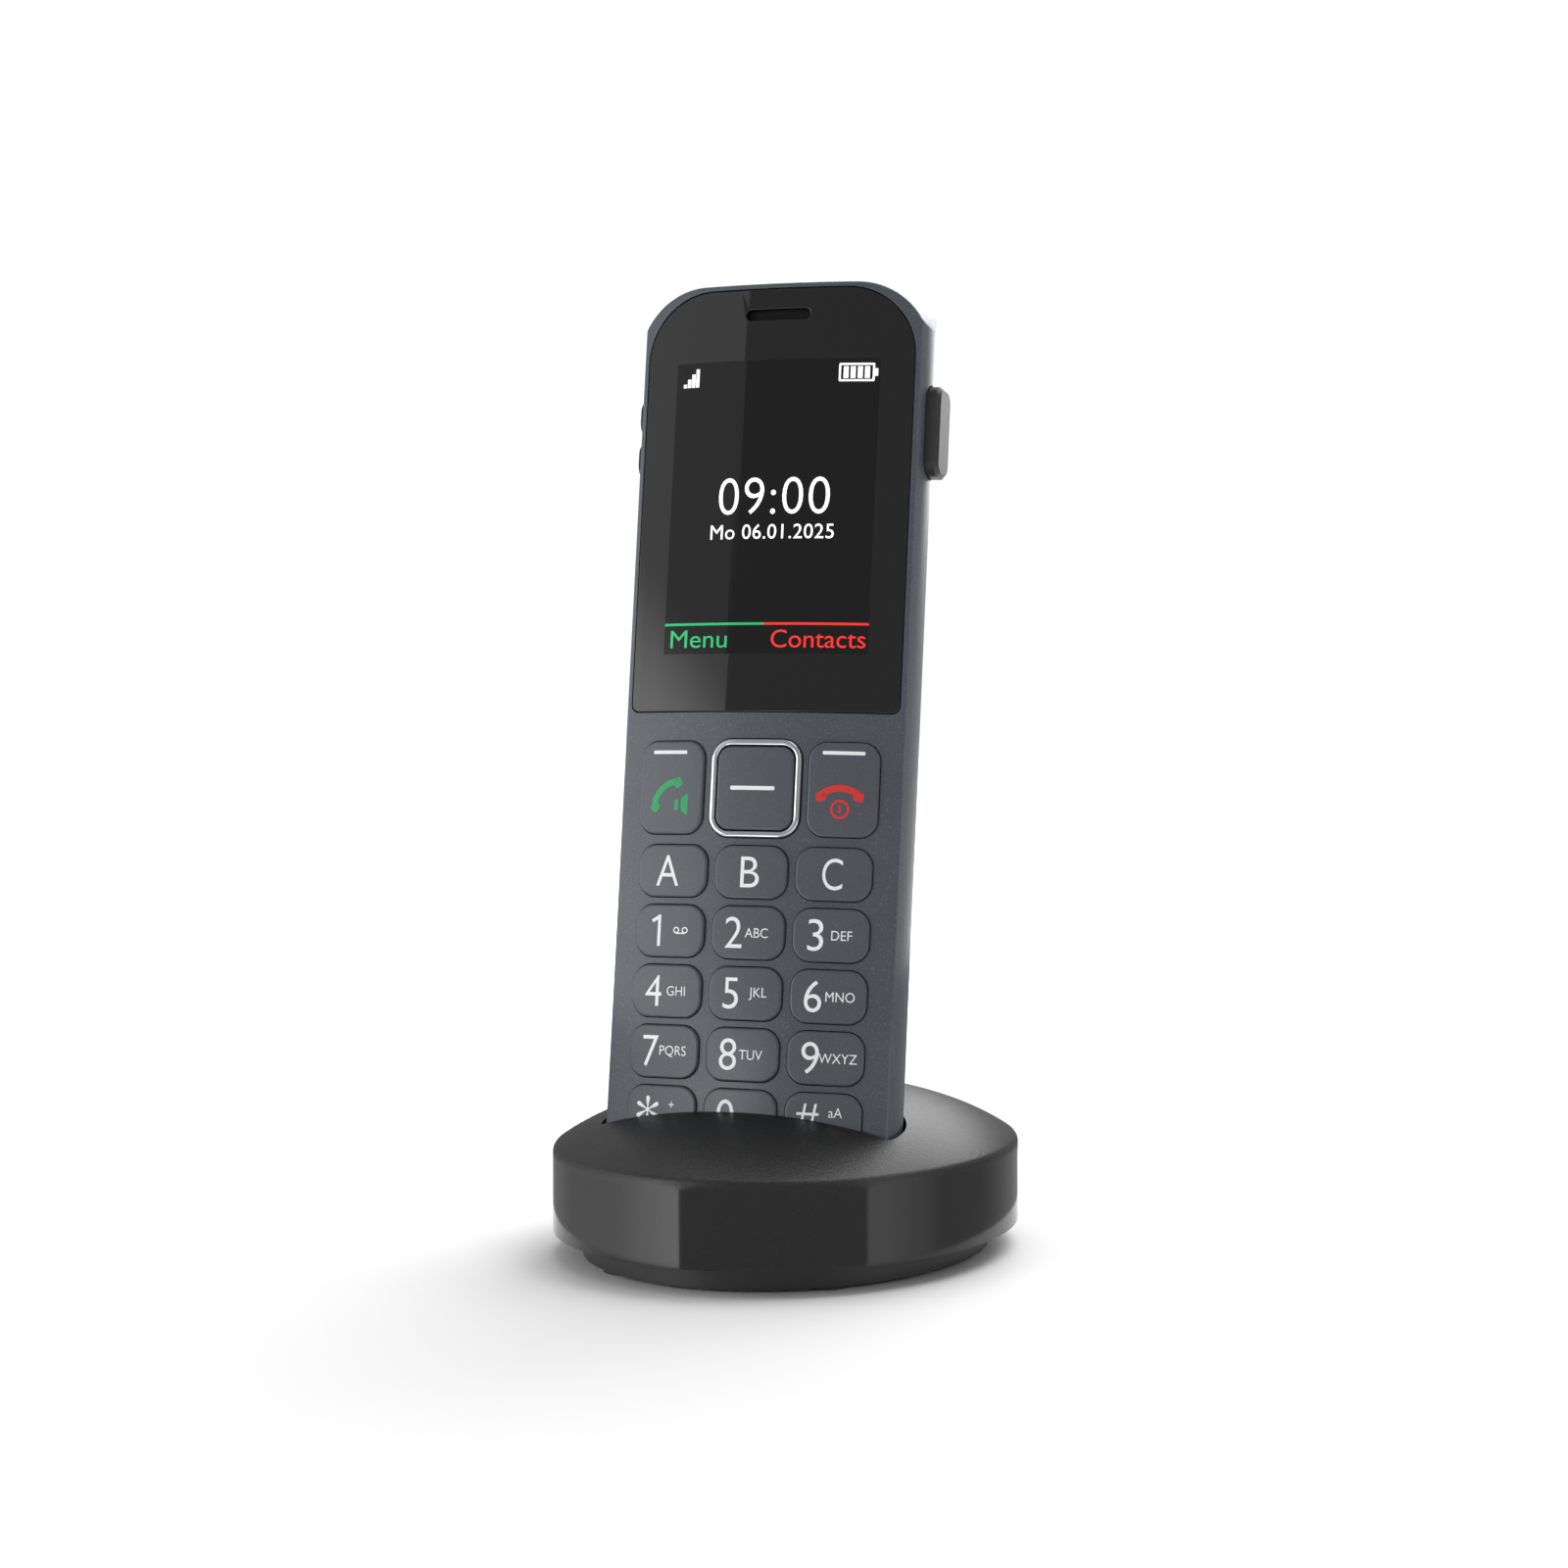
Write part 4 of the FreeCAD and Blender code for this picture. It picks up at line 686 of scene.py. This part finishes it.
def glowRing(name, look):
    # a low strip of light round the cradle, seen only in its reflections; each step of the light is
    # an azimuth in degrees, 0 in front and positive to the right, and a radiance
    low, high = (corner / mm for corner in span("cradle_top_shell"))
    across, along = (high.x - low.x) / 2 + look["gap"], (high.y - low.y) / 2 + look["gap"]
    mesh = bmesh.new()
    layer = mesh.verts.layers.float.new("glow")
    before = None
    for azimuth, radiance in stepped(look["steps"]):
        turn = math.radians(azimuth)
        x, y = across * math.sin(turn), -along * math.cos(turn)
        pair = [mesh.verts.new((x * mm, y * mm, level * mm)) for level in look["height"]]
        for vert in pair:
            vert[layer] = radiance
        if before:
            mesh.faces.new((before[0], pair[0], pair[1], before[1]))
        before = pair
    material, tree, strength = glowMaterial(name)
    glow = tree.nodes.new("ShaderNodeAttribute")
    glow.attribute_name = "glow"
    tree.links.new(glow.outputs["Fac"], strength)
    ring = stageMesh(mesh, name, material)
    ring.visible_camera = ring.visible_diffuse = ring.visible_shadow = False


leftCard = {"azimuth": -58, "distance": 0.9, "width": 1.08, "height": (-0.1, 0.75), "fade": (0.28, 0.37),
            "radiance": (3.3, 1.1)}
softBoxes = {
    "rightBox": {"azimuth": 100, "elevation": 18, "distance": 0.9, "size": (0.5, 0.9), "radiance": 0.3,
                 "aim": 0.09},
    "rearRightBox": {"azimuth": 174, "elevation": 24, "distance": 0.9, "size": (0.6, 0.5), "radiance": 3.6,
                     "aim": 0.03},
    "topBox": {"azimuth": 160, "elevation": 65, "distance": 1.1, "size": (1.2, 0.8), "radiance": 3.6,
               "aim": 0.09},
}
cradleGlow = {
    "gap": 20, "height": (0.2, 45),
    "steps": [(-180, 0.2), (-90, 0.3), (-69, 0.52), (-55, 0.95), (-38, 1.75), (-25, 2.9), (-11.6, 3.9),
              (-11.5, 0.65), (52.9, 0.65), (53, 1.75), (60, 1.6), (81, 0.52), (100, 0.33), (117, 0.38),
              (180, 0.3)],
}
makeFloor()
glowCard("leftCard", leftCard)
for name, look in softBoxes.items():
    softBox(name, look)
glowRing("cradleGlow", cradleGlow)

# the room's own light, stronger where the camera sees it
skyLight = {"seen": 0.6, "always": 0.5}
world = bpy.data.worlds.new("studio")
bpy.context.scene.world = world
world.use_nodes = True
sky = next(n for n in world.node_tree.nodes if n.type == "BACKGROUND")
seen = world.node_tree.nodes.new("ShaderNodeLightPath").outputs["Is Camera Ray"]
level = mathNode(world.node_tree, "MULTIPLY", seen, skyLight["seen"])
level = mathNode(world.node_tree, "ADD", level, skyLight["always"])
world.node_tree.links.new(level, sky.inputs["Strength"])
sky.inputs["Color"].default_value = (1, 1, 1, 1)

view = {"place": (173.05, -495.46, 102.01), "target": (0.0, -2.04, 80.35), "lens": 69.52, "sensor": 36}
cameraData = bpy.data.cameras.new("camera")
cameraData.lens = view["lens"]
cameraData.sensor_width = view["sensor"]
camera = bpy.data.objects.new("camera", cameraData)
camera.location = Vector(view["place"]) * mm
camera.rotation_euler = (Vector(view["place"]) - Vector(view["target"])).to_track_quat("Z", "Y").to_euler()
bpy.context.scene.collection.objects.link(camera)
bpy.context.scene.camera = camera
bpy.context.scene.view_settings.view_transform = "Standard"
print("room ready")
